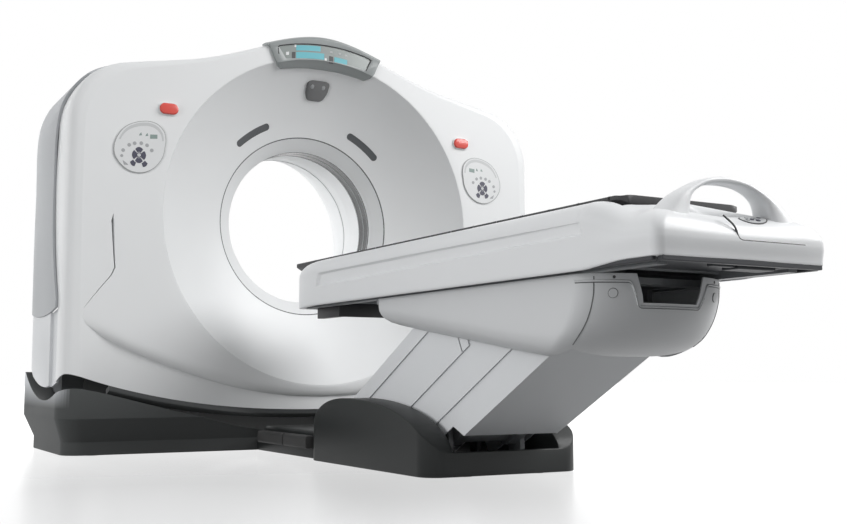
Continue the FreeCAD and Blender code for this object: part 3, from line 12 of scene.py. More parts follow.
import bmesh
import bpy
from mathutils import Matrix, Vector


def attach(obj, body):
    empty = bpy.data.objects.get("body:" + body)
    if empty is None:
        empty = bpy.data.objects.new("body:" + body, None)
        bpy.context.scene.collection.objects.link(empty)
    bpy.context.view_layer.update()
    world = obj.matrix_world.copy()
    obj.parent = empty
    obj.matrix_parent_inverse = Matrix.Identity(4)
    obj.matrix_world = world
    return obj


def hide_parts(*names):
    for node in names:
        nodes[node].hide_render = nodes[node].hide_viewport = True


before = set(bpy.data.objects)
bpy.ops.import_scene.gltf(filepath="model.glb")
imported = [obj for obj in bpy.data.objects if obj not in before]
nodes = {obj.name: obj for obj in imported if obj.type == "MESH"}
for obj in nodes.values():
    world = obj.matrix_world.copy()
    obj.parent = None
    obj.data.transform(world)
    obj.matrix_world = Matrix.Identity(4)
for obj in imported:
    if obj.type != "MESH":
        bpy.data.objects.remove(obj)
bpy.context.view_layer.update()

# ---------------- camera

PHOTO_WIDTH = 847
FOCAL_PIXELS = 1115.4
SENSOR = 36.0
CAMERA_PLACE = (-2.0386, -3.7227, 0.3218)
CAMERA_YAW = 29.65
CAMERA_PITCH = 5.783


def make_camera():
    """The camera that took the photograph, as solved from it."""
    lens = bpy.data.cameras.new("photo_camera")
    lens.sensor_width = SENSOR
    lens.lens = FOCAL_PIXELS / PHOTO_WIDTH * SENSOR
    camera = bpy.data.objects.new("photo_camera", lens)
    camera.location = CAMERA_PLACE
    camera.rotation_euler = (math.radians(90 + CAMERA_PITCH), 0, math.radians(-CAMERA_YAW))
    bpy.context.scene.collection.objects.link(camera)
    bpy.context.scene.camera = camera


make_camera()
bpy.context.scene.view_settings.view_transform = "Standard"

# ---------------- shader nodes


def feed(tree, node, inputs):
    """Sets inputs of a shader node; a socket given as a value is linked."""
    for key, value in inputs.items():
        if isinstance(value, bpy.types.NodeSocket):
            tree.links.new(value, node.inputs[key])
        else:
            node.inputs[key].default_value = value


def add_node(tree, kind, inputs=None, **settings):
    """New shader node with its settings and inputs."""
    node = tree.nodes.new("ShaderNode" + kind)
    for name, value in settings.items():
        setattr(node, name, value)
    feed(tree, node, inputs or {})
    return node


def join_values(tree, operation, first, second):
    """Result of a sum on two values."""
    return add_node(tree, "Math", {0: first, 1: second}, operation=operation).outputs[0]


def fade(tree, value, start, end):
    """Follows a value from one (value, result) to another and stays level beyond them."""
    inputs = {"Value": value, "From Min": start[0], "From Max": end[0], "To Min": start[1], "To Max": end[1]}
    return add_node(tree, "MapRange", inputs).outputs["Result"]


def mix_colours(tree, share, first, second):
    """Colour between two, by a share from 0 to 1."""
    return add_node(tree, "Mix", {0: share, 6: first, 7: second}, data_type="RGBA").outputs[2]


def seen_rays(tree):
    """1 for rays that show a background: seen straight, mirrored or through glass."""
    ray = add_node(tree, "LightPath").outputs
    mirrored = join_values(tree, "MAXIMUM", ray["Is Camera Ray"], ray["Is Glossy Ray"])
    return join_values(tree, "MAXIMUM", mirrored, ray["Is Transmission Ray"])


def new_material(name):
    """Material with its node tree and its shader."""
    material = bpy.data.materials.new(name)
    material.use_nodes = True
    return material, material.node_tree, material.node_tree.nodes["Principled BSDF"]


# ---------------- stage and light

PLAIN_WHITE = (1, 1, 1, 1)
# (turn towards the sky's bright side, strength)
SKY_AWAY = (-0.5, 0.04)
SKY_FACING = (1.0, 0.70)
SKY_WAY = (-0.38, 0.60, 0.70)
SKY_COLOUR = (0.98, 0.99, 1.0, 1)
FLOOR_SIZE = 60
FLOOR_COLOUR = (0.20, 0.202, 0.204, 1)
FLOOR_ROUGH = 0.25
FLOOR_SHINE = 0.25
# (distance from the spot of painted shade in metres, glow)
# painted shade: the floor's glow is dimmed about one spot in front of the gantry base's left corner
FLOOR_SHADE_SPOT = (-1.2, -0.9, 0.0)
FLOOR_SHADE_NEAR = (0.5, 0.5084)
FLOOR_SHADE_FAR = (2.4, 0.82)
# name, place, target, width, height, power, leaves a gleam
LAMPS = (
    ("key_softbox", (4.6, -3.6, 4.8), (0.0, 0.5, 1.0), 5.0, 4.0, 480, True),
    ("left_softbox", (-4.4, -1.3, 1.1), (0.0, -0.6, 0.5), 1.8, 1.8, 66, False),
    ("bore_softbox", (-1.6, 4.2, 1.8), (0.3, 1.4, 1.0), 1.6, 1.6, 95, False),
)


def make_world():
    """Soft light from above and behind, and plain white where the background is seen."""
    world = bpy.data.worlds.new("studio")
    bpy.context.scene.world = world
    world.use_nodes = True
    tree = world.node_tree
    tree.nodes.clear()
    place = add_node(tree, "TexCoord").outputs["Generated"]
    facing = add_node(tree, "VectorMath", {0: place, 1: SKY_WAY}, operation="DOT_PRODUCT").outputs["Value"]
    strength = fade(tree, facing, SKY_AWAY, SKY_FACING)
    light = add_node(tree, "Background", {"Color": SKY_COLOUR, "Strength": strength})
    seen = add_node(tree, "Background", {"Color": PLAIN_WHITE, "Strength": 1.0})
    mix = add_node(tree, "MixShader", {0: seen_rays(tree), 1: light.outputs[0], 2: seen.outputs[0]})
    add_node(tree, "OutputWorld", {"Surface": mix.outputs[0]})


def area_light(name, place, target, width, height, power, gleam):
    """Rectangular lamp that looks at a target."""
    data = bpy.data.lights.new(name, "AREA")
    data.shape = "RECTANGLE"
    data.size = width
    data.size_y = height
    data.energy = power
    lamp = bpy.data.objects.new(name, data)
    lamp.location = place
    lamp.visible_glossy = gleam
    direction = Vector(target) - Vector(place)
    lamp.rotation_euler = direction.to_track_quat("-Z", "Y").to_euler()
    bpy.context.scene.collection.objects.link(lamp)


def make_floor():
    """Wide white ground that glows where it is seen, less so about one spot, where shade is painted."""
    half = FLOOR_SIZE / 2
    mesh = bpy.data.meshes.new("floor")
    corners = [(-half, -half, 0), (half, -half, 0), (half, half, 0), (-half, half, 0)]
    mesh.from_pydata(corners, [], [(0, 1, 2, 3)])
    floor = bpy.data.objects.new("floor", mesh)
    bpy.context.scene.collection.objects.link(floor)
    material, tree, shader = new_material("floor")
    place = add_node(tree, "TexCoord").outputs["Object"]
    away = add_node(tree, "VectorMath", {0: place, 1: FLOOR_SHADE_SPOT}, operation="DISTANCE").outputs["Value"]
    # painted shade: the glow falls off towards the spot
    glow = join_values(tree, "MULTIPLY", seen_rays(tree), fade(tree, away, FLOOR_SHADE_NEAR, FLOOR_SHADE_FAR))
    feed(tree, shader, {
        "Base Color": FLOOR_COLOUR,
        "Roughness": FLOOR_ROUGH,
        "Specular IOR Level": FLOOR_SHINE,
        "Emission Color": PLAIN_WHITE,
        "Emission Strength": glow,
    })
    mesh.materials.append(material)


make_world()
for lamp in LAMPS:
    area_light(*lamp)
make_floor()

# ---------------- materials

COAT_ROUGH = 0.12
CLOUD_SCALE = 3.0
CLOUD_DETAIL = 4.0
MOTTLE = 0.02
GLOSS_SPREAD = 0.05
GRAIN_HEIGHT = 0.0002


def surface(name, colour, rough, metallic=0.0, coat=0.0, grain=0.0, grain_scale=900.0, shine=0.5):
    """Satin plastic or paint: fine grain in the bump, slight mottling of colour and gloss."""
    material, tree, shader = new_material(name)
    place = add_node(tree, "TexCoord").outputs["Object"]
    noise = add_node(tree, "TexNoise", {"Vector": place, "Scale": CLOUD_SCALE, "Detail": CLOUD_DETAIL})
    cloud = noise.outputs["Fac"]
    dark = [tone * (1 - MOTTLE) for tone in colour]
    light = [min(tone * (1 + MOTTLE), 1) for tone in colour]
    feed(tree, shader, {
        "Base Color": mix_colours(tree, cloud, (*dark, 1), (*light, 1)),
        "Roughness": fade(tree, cloud, (0.0, rough - GLOSS_SPREAD), (1.0, rough + GLOSS_SPREAD)),
        "Metallic": metallic,
        "Specular IOR Level": shine,
        "Coat Weight": coat,
        "Coat Roughness": COAT_ROUGH,
    })
    if grain > 0:
        fine = add_node(tree, "TexNoise", {"Vector": place, "Scale": grain_scale}).outputs["Fac"]
        bump = add_node(tree, "Bump", {"Height": fine, "Strength": grain, "Distance": GRAIN_HEIGHT})
        feed(tree, shader, {"Normal": bump.outputs["Normal"]})
    return material


WHITE = surface("white_cover", (0.80, 0.81, 0.815), 0.38, grain=0.15)
SILVER = surface("silver_paint", (0.42, 0.435, 0.45), 0.42, metallic=0.1, grain=0.2, grain_scale=2500)
LIGHT_PANEL = surface("light_panel", (0.62, 0.635, 0.65), 0.35, metallic=0.2, grain=0.15)
TABLE_WHITE = surface("table_white", (0.78, 0.79, 0.80), 0.36, grain=0.15)
# painted shade: the lower housing's white is the table's white made darker, as the housing lies in the bed's
# shadow
HOUSING_SHADED = surface("housing_white_shaded", (0.66, 0.67, 0.68), 0.38, grain=0.15)
BLACK = surface("base_black", (0.019, 0.021, 0.021), 0.42, grain=0.25, grain_scale=700, shine=0.25)
DARK = surface("dark_plastic", (0.03, 0.03, 0.032), 0.45, grain=0.3)
CRADLE = surface("cradle_dark", (0.045, 0.045, 0.047), 0.5, grain=0.3)
GREY = surface("mid_grey", (0.27, 0.29, 0.29), 0.3, grain=0.1)
RED = surface("red_button", (0.72, 0.07, 0.05), 0.25, coat=0.4)
SCREEN = surface("screen", (0.25, 0.28, 0.27), 0.22, coat=0.3)
GRILLE = surface("grille", (0.09, 0.095, 0.10), 0.5, grain=0.3)
PANEL = surface("key_panel", (0.74, 0.75, 0.755), 0.3)
STEEL = surface("frame_steel", (0.25, 0.26, 0.27), 0.4, grain=0.3)
MACHINED = surface("machined_steel", (0.55, 0.56, 0.58), 0.3, metallic=1.0, grain=0.2)
ALUMINIUM = surface("cast_aluminium", (0.6, 0.61, 0.62), 0.45, metallic=1.0, grain=0.5, grain_scale=400)
COPPER = surface("copper_ring", (0.60, 0.33, 0.18), 0.3, metallic=1.0)
LEG = surface("leg_grey", (0.77, 0.785, 0.80), 0.42, grain=0.15, shine=0.3)
RUBBER = surface("rubber", (0.03, 0.03, 0.03), 0.7, grain=0.5)
BAND = surface("inner_band", (0.115, 0.12, 0.122), 0.4, grain=0.2)
KEY_LINE = surface("key_outline", (0.36, 0.37, 0.37), 0.4)
KEY_PALE = surface("key_pale", (0.56, 0.57, 0.575), 0.35)
KEY_GREY = surface("key_grey", (0.38, 0.39, 0.40), 0.35)
KEY_GREEN = surface("key_green_grey", (0.24, 0.31, 0.29), 0.35)
KEY_DARK = surface("key_dark", (0.055, 0.055, 0.085), 0.35)
CYAN = surface("display_cyan", (0.11, 0.45, 0.52), 0.3)
MODULE = surface("camera_glass", (0.11, 0.112, 0.115), 0.22, coat=0.4)
UNDERSIDE = surface("underside_grey", (0.05, 0.052, 0.057), 0.5, grain=0.3, shine=0.3)
WINDOW = surface("scan_window", (0.03, 0.032, 0.034), 0.2, coat=0.3)
GANTRY_BLACK = surface("gantry_base_black", (0.084, 0.088, 0.088), 0.55, grain=0.25, grain_scale=700,
                       shine=0.1)

# painted reflection: the upper part of the gantry base's sideways faces is made paler, standing in for the
# bright surroundings mirrored in its gloss
SIDE_REFLECTION_TONE = (0.66, 0.68, 0.70, 1)
# (part of the face's direction that points sideways, share of the painted reflection's tone)
REFLECTION_FACING_FROM = (0.5, 0.0)
REFLECTION_FACING_TO = (0.95, 1.0)
# (height in metres, share of the painted reflection's tone)
REFLECTION_LOW = (0.19, 0.0)
REFLECTION_HIGH = (0.29, 1.0)


def paint_side_reflection(material):
    """Paints a reflection: fades the upper part of the faces that look sideways to a paler tone."""
    tree = material.node_tree
    shader = tree.nodes["Principled BSDF"]
    form = add_node(tree, "NewGeometry").outputs
    facing = add_node(tree, "SeparateXYZ", {0: form["True Normal"]}).outputs["X"]
    sideways = add_node(tree, "Math", {0: facing}, operation="ABSOLUTE").outputs[0]
    height = add_node(tree, "SeparateXYZ", {0: form["Position"]}).outputs["Z"]
    share = join_values(tree, "MULTIPLY", fade(tree, sideways, REFLECTION_FACING_FROM, REFLECTION_FACING_TO),
                        fade(tree, height, REFLECTION_LOW, REFLECTION_HIGH))
    plain = shader.inputs["Base Color"].links[0].from_socket
    feed(tree, shader, {"Base Color": mix_colours(tree, share, plain, SIDE_REFLECTION_TONE)})


# painted reflection on the base's sideways faces
paint_side_reflection(GANTRY_BLACK)

# ---------------- mesh tools

MM = 0.001
MERGE = 0.00002
SLIVER = 0.00001
# angles in degrees over which edges stay sharp
SHARP = 32.0
FLAT_SHARP = 30
RING_SHARP = 35
PLATE_SHARP = 40
CURVE_SHARP = 50
WIRE_SHARP = 60
SIDES = ((-1, "left"), (1, "right"))


def smooth(mesh, sharp):
    """Shades a mesh smooth except over edges sharper than an angle in degrees."""
    mesh.polygons.foreach_set("use_smooth", [True] * len(mesh.polygons))
    mesh.set_sharp_from_angle(angle=math.radians(sharp))


def add_object(name, form, material, sharp=SHARP):
    """Mesh object from (points in millimetres, faces), shaded smooth between sharp edges."""
    points, faces = form
    mesh = bpy.data.meshes.new(name)
    mesh.from_pydata([(x * MM, y * MM, z * MM) for x, y, z in points], [], faces)
    mesh.materials.append(material)
    mesh.update()
    work = bmesh.new()
    work.from_mesh(mesh)
    bmesh.ops.remove_doubles(work, verts=work.verts, dist=MERGE)
    bmesh.ops.dissolve_degenerate(work, edges=work.edges, dist=SLIVER)
    bmesh.ops.recalc_face_normals(work, faces=work.faces)
    work.to_mesh(mesh)
    work.free()
    smooth(mesh, sharp)
    item = bpy.data.objects.new(name, mesh)
    bpy.context.scene.collection.objects.link(item)
    return item


def stand_for(item, body, *hidden):
    """The piece moves with a body and takes the place of CAD nodes."""
    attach(item, body)
    if hidden:
        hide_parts(*hidden)
    return item


def add_piece(name, form, material, sharp, body, *hidden):
    """Mesh object that moves with a body and takes the place of CAD nodes."""
    return stand_for(add_object(name, form, material, sharp), body, *hidden)


def thicken(item, depth):
    """Gives an open skin a thickness in millimetres, behind its outer face."""
    modifier = item.modifiers.new("thickness", "SOLIDIFY")
    modifier.thickness = depth * MM
    modifier.offset = -1.0
    modifier.use_even_offset = True
    return modifier


def soften(item, width, segments=2, angle=40):
    """Rounds the piece's sharp edges."""
    modifier = item.modifiers.new("round", "BEVEL")
    modifier.width = width * MM
    modifier.segments = segments
    modifier.limit_method = "ANGLE"
    modifier.angle_limit = math.radians(angle)
    return modifier


def bake(item, sharp=SHARP):
    """Applies the piece's modifiers to its mesh."""
    bpy.context.view_layer.update()
    graph = bpy.context.evaluated_depsgraph_get()
    mesh = bpy.data.meshes.new_from_object(item.evaluated_get(graph))
    item.modifiers.clear()
    item.data = mesh
    smooth(mesh, sharp)


def carve(item, tools, sharp):
    """Cuts tools out of a closed piece and removes them."""
    for tool in tools:
        modifier = item.modifiers.new("cut", "BOOLEAN")
        modifier.operation = "DIFFERENCE"
        modifier.solver = "EXACT"
        modifier.object = tool
    bake(item, sharp)
    for tool in tools:
        bpy.data.objects.remove(tool)


# ---------------- forms and outlines


def grid_faces(rows, columns, closed=False, start=0):
    """Quads of a grid of points listed row by row."""
    faces = []
    for row in range(rows - 1):
        for column in range(columns if closed else columns - 1):
            a = start + row * columns + column
            b = start + row * columns + (column + 1) % columns
            faces.append((a, b, b + columns, a + columns))
    return faces


def cross_faces(count, start):
    """Quads across a symmetric ring of points, from one point on its middle line to the other."""
    faces = []
    for k in range(count // 2):
        quad = (k, k + 1, (count - k - 1) % count, (count - k) % count)
        faces.append(tuple(dict.fromkeys(start + corner for corner in quad)))
    return faces


def skin(rings):
    """Open skin through closed rings of points."""
    points = [point for ring in rings for point in ring]
    return points, grid_faces(len(rings), len(rings[0]), closed=True)


def stack(rings):
    """Closed form through rings of points, with flat ends."""
    points, faces = skin(rings)
    count = len(rings[0])
    return points, [tuple(range(count)), tuple(range(len(points) - count, len(points)))] + faces


def merge_forms(forms):
    """Several forms as one."""
    points = []
    faces = []
    for more, quads in forms:
        start = len(points)
        points += more
        faces += [tuple(start + corner for corner in quad) for quad in quads]
    return points, faces


def prism(outline, y0, y1):
    """Outline in x and z pushed along y, with flat ends."""
    return stack([[(x, y, z) for x, z in outline] for y in (y0, y1)])


def cuboid(x0, x1, y0, y1, z0, z1):
    """Plain block between two places along each axis."""
    return prism([(x0, z0), (x1, z0), (x1, z1), (x0, z1)], y0, y1)


def add_block(name, box, width, material, body):
    """Block with rounded edges that moves with a body."""
    block = add_piece(name, cuboid(*box), material, SHARP, body)
    soften(block, width)


def circle(count):
    """Cosine and sine of evenly spaced angles all round."""
    angles = [2 * math.pi * k / count for k in range(count)]
    return [(math.cos(angle), math.sin(angle)) for angle in angles]


def disc(middle, radius, count=18):
    """Round outline about a place."""
    return [(middle[0] + radius * c, middle[1] + radius * s) for c, s in circle(count)]


def mirrored(right, shared=0):
    """Right half of an outline and its mirror image; shared ends lie on the middle line."""
    return right + [(-x, *rest) for x, *rest in reversed(right[shared:len(right) - shared])]


def tube(path, radius, sides=8):
    """Closed tube along a path of points, round in section."""
    rings = []
    last = len(path) - 1
    for index, middle in enumerate(path):
        along = Vector(path[min(index + 1, last)]) - Vector(path[max(index - 1, 0)])
        along.normalize()
        side = along.cross(Vector((0, 0, 1)))
        if side.length < 0.01:
            side = along.cross(Vector((0, 1, 0)))
        side.normalize()
        up = side.cross(along)
        rings.append([tuple(Vector(middle) + (side * c + up * s) * radius) for c, s in circle(sides)])
    return stack(rings)


def wire(name, path, radius, material, body):
    """Thin round line that moves with a body."""
    add_piece(name, tube(path, radius), material, WIRE_SHARP, body)


def bend(before, here, after, radius, steps):
    """Points round one corner of a line."""
    here = Vector(here)
    back = Vector(before) - here
    ahead = Vector(after) - here
    near = min(radius, back.length / 2, ahead.length / 2)
    start = here + back.normalized() * near
    stop = here + ahead.normalized() * near
    shares = [step / steps for step in range(steps + 1)]
    return [tuple(start * (1 - t) ** 2 + here * 2 * t * (1 - t) + stop * t ** 2) for t in shares]


def round_path(corners, radius, steps=5):
    """Line through corners with each bend rounded."""
    path = [corners[0]]
    for before, here, after in zip(corners, corners[1:], corners[2:]):
        path += bend(before, here, after, radius, steps)
    return path + [corners[-1]]


def round_outline(corners, radius, steps=4):
    """Closed outline with every corner rounded."""
    line = []
    for k, here in enumerate(corners):
        line += bend(corners[k - 1], here, corners[(k + 1) % len(corners)], radius, steps)
    return line


def ease(value):
    """Soft step from 0 to 1."""
    value = min(max(value, 0.0), 1.0)
    return value * value * (3 - 2 * value)


def lookup(table, x):
    """Smooth value at x through a table of (x, value), by cubic pieces."""
    if x <= table[0][0]:
        return table[0][1]
    if x >= table[-1][0]:
        return table[-1][1]
    last = len(table) - 1
    index = next(k for k in range(last) if x <= table[k + 1][0])

    def rise(k):
        return (table[k + 1][1] - table[k][1]) / (table[k + 1][0] - table[k][0])

    def slope(k):
        before = rise(max(k - 1, 0))
        after = rise(min(k, last - 1))
        if before * after <= 0:
            return 0.0
        return 2 * before * after / (before + after)

    x0, v0 = table[index]
    x1, v1 = table[index + 1]
    gap = x1 - x0
    t = (x - x0) / gap
    m0 = slope(index) * gap
    m1 = slope(index + 1) * gap
    return ((2 * t ** 3 - 3 * t ** 2 + 1) * v0 + (t ** 3 - 2 * t ** 2 + t) * m0
            + (3 * t ** 2 - 2 * t ** 3) * v1 + (t ** 3 - t ** 2) * m1)


def solve(test, low, high):
    """Where a rising test passes zero between two values."""
    for _ in range(40):
        middle = (low + high) / 2
        if test(middle) < 0:
            low = middle
        else:
            high = middle
    return (low + high) / 2


# ---------------- gantry form

GANTRY = "tilting_gantry"
ISO = 1002.0
SCAN_Y = 1057.0
FRONT_Y = 750.0
HALF = 1105.0
CORNER = 260.0
CORNER_STEPS = 24
SLOPE = 0.19
CROWN = 824.0
CROWN_RISE = 79.0
CROWN_HALF = 640.0
CROWN_ROUND = 150.0
ROOF_STEPS = 80
OUTLINE_LOW = -1000
OUTLINE_STEP = 20
DRAW_CIRCLE = 640.0
RIM = 725.0
LIP = 408.0
LIP_Y = 954.0
DISH_SAG = 20.0
# (distance behind the front, share drawn in towards the circle)
FRONT_ROLL = [(0, 0.12), (7, 0.055), (26, 0.014), (62, 0.0)]
SKIRT_RADIUS = 883.0
SKIRT_RISE = 146.0
SKIRT_HALF = 1087.0
SKIRT_REACH = 1130.0
SKIRT_POWER = 2.33
SIDE_LOWEST = math.radians(-60)
SIDE_HIGHEST = math.radians(-5)


def about_bore(radius, angle, y):
    """Point at a distance and an angle in radians about the bore axis."""
    return radius * math.cos(angle), y, ISO + radius * math.sin(angle)


def roof(x):
    """Height of the covers' top over the bore axis."""
    fall = SLOPE * (math.hypot(x, CROWN_ROUND) - CROWN_ROUND)
    reach = min(abs(x) / CROWN_HALF, 1.0)
    return CROWN - fall - CROWN_RISE * math.sin(0.5 * math.pi * reach) ** 2


def make_outline():
    """(angle, radius) about the bore axis of the covers' front view, right to left."""
    turn = math.radians(90) - math.atan(SLOPE)
    start = roof(HALF) - CORNER * math.tan(turn / 2)
    line = [(HALF, z) for z in range(OUTLINE_LOW, int(start), OUTLINE_STEP)]
    for k in range(CORNER_STEPS + 1):
        angle = turn * k / CORNER_STEPS
        line.append((HALF - CORNER + CORNER * math.cos(angle), start + CORNER * math.sin(angle)))
    edge = line[-1][0]
    for k in range(1, ROOF_STEPS + 1):
        x = edge * (1 - k / ROOF_STEPS)
        line.append((x, roof(x)))
    polar = [(math.atan2(z, x), math.hypot(x, z)) for x, z in line]
    return polar + [(math.pi - angle, radius) for angle, radius in reversed(polar[:-1])]


OUTLINE = make_outline()


def far(angle):
    """Distance from the bore axis to the covers' outline."""
    after = bisect.bisect_right(OUTLINE, angle, 1, len(OUTLINE) - 1, key=lambda row: row[0])
    a0, r0 = OUTLINE[after - 1]
    a1, r1 = OUTLINE[after]
    return r0 + (r1 - r0) * ((angle - a0) / (a1 - a0))


def cover_radius(angle, y):
    """Distance from the bore axis to the covers' outer surface, drawn in at the front."""
    blend = lookup(FRONT_ROLL, y - FRONT_Y)
    return far(angle) * (1 - blend) + DRAW_CIRCLE * blend


def skirt_z(x, y):
    """Lower edge of the tilting covers, round about the tilt axis."""
    radius = SKIRT_RADIUS - SKIRT_RISE * (min(abs(x), SKIRT_REACH) / SKIRT_HALF) ** SKIRT_POWER
    return ISO - math.sqrt(radius ** 2 - (SCAN_Y - y) ** 2)


@functools.cache
def start_angle(y):
    """Angle at which the covers' side meets the lower edge."""
    def above(angle):
        x, _, z = about_bore(cover_radius(angle, y), angle, y)
        return z - skirt_z(x, y)
    return solve(above, SIDE_LOWEST, SIDE_HIGHEST)


# ---------------- front cover

COVER_SHEET = 4
SIDE_STEPS = 150
FOOT_STEPS = 120
FACE_REACH = 1500
# the seam at the cover's rear edge swells back between two heights
SEAM_Y = 872.0
BULGE = 117.0
BULGE_LOW = 632.0
BULGE_HIGH = 1560.0
SEAM_SHARES = (0.35, 0.7, 0.97, 1.0)
SEAM_TUCK = 1.0
ROLL_DEPTHS = (1.2, 2.6, 4.5, 7, 10, 14, 19, 26, 36, 48, 62)
# (distance from the middle, height) of the crease over the apron
CREASE = [(0, 229), (101, 231), (194, 239), (375, 267), (549, 313), (718, 370), (882, 437), (1002, 506),
          (1082, 579), (1150, 660)]
CREASE_END = 900.0
CREASE_FADE = 150.0
STEP_DEPTH = 24.0
STEP_ROLL = 46.0
ROLL_STEPS = (-STEP_ROLL, -34, -26, -18, -12, -7, -3.5, -1.2, -0.01, 0.6)
# (distance from the bore's rim, depth) of the points at the rim's rounded edge
RIM_EDGE = ((0.0, 3.0), (1.2, 1.0), (3.0, 0.25), (6.0, 0.0))
INNER_STEPS = 5
OUTER_STEPS = 5
# number of the point right over the crease, counted from the rim
LAST_ON_FACE = len(RIM_EDGE) + INNER_STEPS - 1 + ROLL_STEPS.index(-0.01)
# sine of the angle under which the face steps back, and under which its points gather at the crease
FALLING = -0.05
MARK_FROM = -0.28
MARK_FADE = 0.10
MARK_SHARE = 0.62
STOP_X = 710.0
STOP_Z = 1420.0
STOP_LENGTH = 77.0
STOP_HEIGHT = 45.0
STOP_GAP = 8


def seam_y(z):
    """Rear edge of the white front cover."""
    if z <= BULGE_LOW or z >= BULGE_HIGH:
        return SEAM_Y
    chord = (BULGE_HIGH - BULGE_LOW) / 2
    radius = (chord ** 2 + BULGE ** 2) / (2 * BULGE)
    middle = (BULGE_HIGH + BULGE_LOW) / 2
    return SEAM_Y + BULGE - radius + math.sqrt(radius ** 2 - (z - middle) ** 2)


def crease_depth(x, below):
    """How far the face lies back near the crease, below meaning distance under it."""
    fade_out = 1.0 - ease((abs(x) - CREASE_END) / CREASE_FADE)
    if below >= 0:
        return STEP_DEPTH * fade_out
    if below <= -STEP_ROLL:
        return 0.0
    share = (below + STEP_ROLL) / STEP_ROLL
    return STEP_DEPTH * fade_out * (1 - math.sqrt(max(1 - share * share, 0.0)))


def mark_radius(angle, outer):
    """Distance from the bore axis at which the face's points gather, at the crease where there is one."""
    height = math.sin(angle)
    midway = RIM + MARK_SHARE * (outer - RIM)
    keep = min(max((MARK_FROM - height) / MARK_FADE, 0.0), 1.0)
    if keep == 0:
        return midway

    def past(radius):
        return lookup(CREASE, abs(radius * math.cos(angle))) - ISO - radius * height

    crease = solve(past, RIM, FACE_REACH)
    return midway + (min(crease, outer - 6) - midway) * keep


def face_column(angle, outer):
    """Points of the front face from the bore's rim out to its edge."""
    falling = math.sin(angle) < FALLING
    steep = -math.sin(angle) if falling else 1.0
    mark = mark_radius(angle, outer)
    reach = min(1.0, (mark - RIM - 8) / (STEP_ROLL / steep + 4))
    start = RIM + RIM_EDGE[-1][0]
    inner = mark - STEP_ROLL * reach / steep
    radii = [RIM + distance for distance, depth in RIM_EDGE]
    radii += [start + (inner - start) * k / INNER_STEPS for k in range(1, INNER_STEPS)]
    radii += [mark + roll * (reach if roll < 0 else 1) / steep for roll in ROLL_STEPS]
    radii += [mark + 1 + (outer - mark - 4) * k / OUTER_STEPS for k in range(1, OUTER_STEPS + 1)]
    radii += [outer - 1.2, outer]
    column = []
    for number, radius in enumerate(radii):
        x, y, z = about_bore(radius, angle, FRONT_Y)
        if falling:
            below = -0.01 if number == LAST_ON_FACE else lookup(CREASE, abs(x)) - z
            y += crease_depth(x, below)
        if number < len(RIM_EDGE):
            y += RIM_EDGE[number][1]
        column.append((x, y, z))
    return column


def side_angle(k, y):
    """Angle of a step of the sides, which run from the lower edge on the right over the top."""
    first = start_angle(y)
    return first + (math.pi - 2 * first) * k / SIDE_STEPS


def on_side(k, y, tuck=0.0):
    """Point on the cover's side at a step and a depth."""
    angle = side_angle(k, y)
    return about_bore(cover_radius(angle, y) - tuck, angle, y)


def face_edge():
    """(angle, radius) of the front face's edge, first sides and top, then the lower edge."""
    angles = [side_angle(k, FRONT_Y) for k in range(SIDE_STEPS + 1)]
    edge = [(angle, cover_radius(angle, FRONT_Y)) for angle in angles]
    first = start_angle(FRONT_Y)
    for k in range(1, FOOT_STEPS):
        angle = math.pi - first + (math.pi + 2 * first) * k / FOOT_STEPS

        def under(radius):
            x, y, z = about_bore(radius, angle, FRONT_Y)
            return skirt_z(x, y) - z

        edge.append((angle, solve(under, RIM, FACE_REACH)))
    return edge


def side_rows():
    """Points of the cover's rolled edge and sides, back to the seam."""
    rows = [[on_side(k, FRONT_Y + depth) for k in range(SIDE_STEPS + 1)] for depth in ROLL_DEPTHS]
    roll_end = FRONT_Y + ROLL_DEPTHS[-1]
    heights = [z for x, y, z in rows[-1]]
    for share in SEAM_SHARES:
        row = []
        for k, z in enumerate(heights):
            for again in range(3):
                y = roll_end + (seam_y(z) - roll_end) * share
                x, y, z = on_side(k, y, SEAM_TUCK if share == 1.0 else 0.0)
            row.append((x, y, z))
        rows.append(row)
    return rows


def front_cover():
    """Open skin of the front cover: its face with the crease, the rolled edge and the sides."""
    columns = [face_column(angle, outer) for angle, outer in face_edge()]
    points, faces = skin(list(zip(*columns)))
    base = len(points)
    edge = base - len(columns)
    rows = side_rows()
    points += [point for row in rows for point in row]
    faces += [(edge + k, edge + k + 1, base + k + 1, base + k) for k in range(SIDE_STEPS)]
    faces += grid_faces(len(rows), SIDE_STEPS + 1, start=base)
    return points, faces


def oblong(x, z, length, height, steps=10):
    """Rounded-end outline lying along x."""
    radius = height / 2
    points = []
    for side, turn in ((1, -90), (-1, 90)):
        middle = x + side * (length / 2 - radius)
        for step in range(steps + 1):
            angle = math.radians(turn + 180 * step / steps)
            points.append((middle + radius * math.cos(angle), z + radius * math.sin(angle)))
    return points


def cutter(form):
    """Piece that is only there to be cut out of another."""
    return add_object("cutter", form, WHITE)


def stop_hole(side):
    """Cutter for the opening that a stop button sits in."""
    outline = oblong(side * STOP_X, STOP_Z, STOP_LENGTH + STOP_GAP, STOP_HEIGHT + STOP_GAP)
    return cutter(prism(outline, FRONT_Y - 30, FRONT_Y + 40))


cover = add_object("front_cover_skin", front_cover(), WHITE, FLAT_SHARP)
thicken(cover, COVER_SHEET)
bake(cover)
carve(cover, [stop_hole(side) for side, name in SIDES], FLAT_SHARP)
stand_for(cover, GANTRY, "front_cover")

BAND_HALF = 915
BAND_STEPS = 90
# (drop under the cover's edge, distance behind its front)
BAND_SECTION = ((-6, 6), (14, 8), (17, 12), (17, 60), (-6, 60))


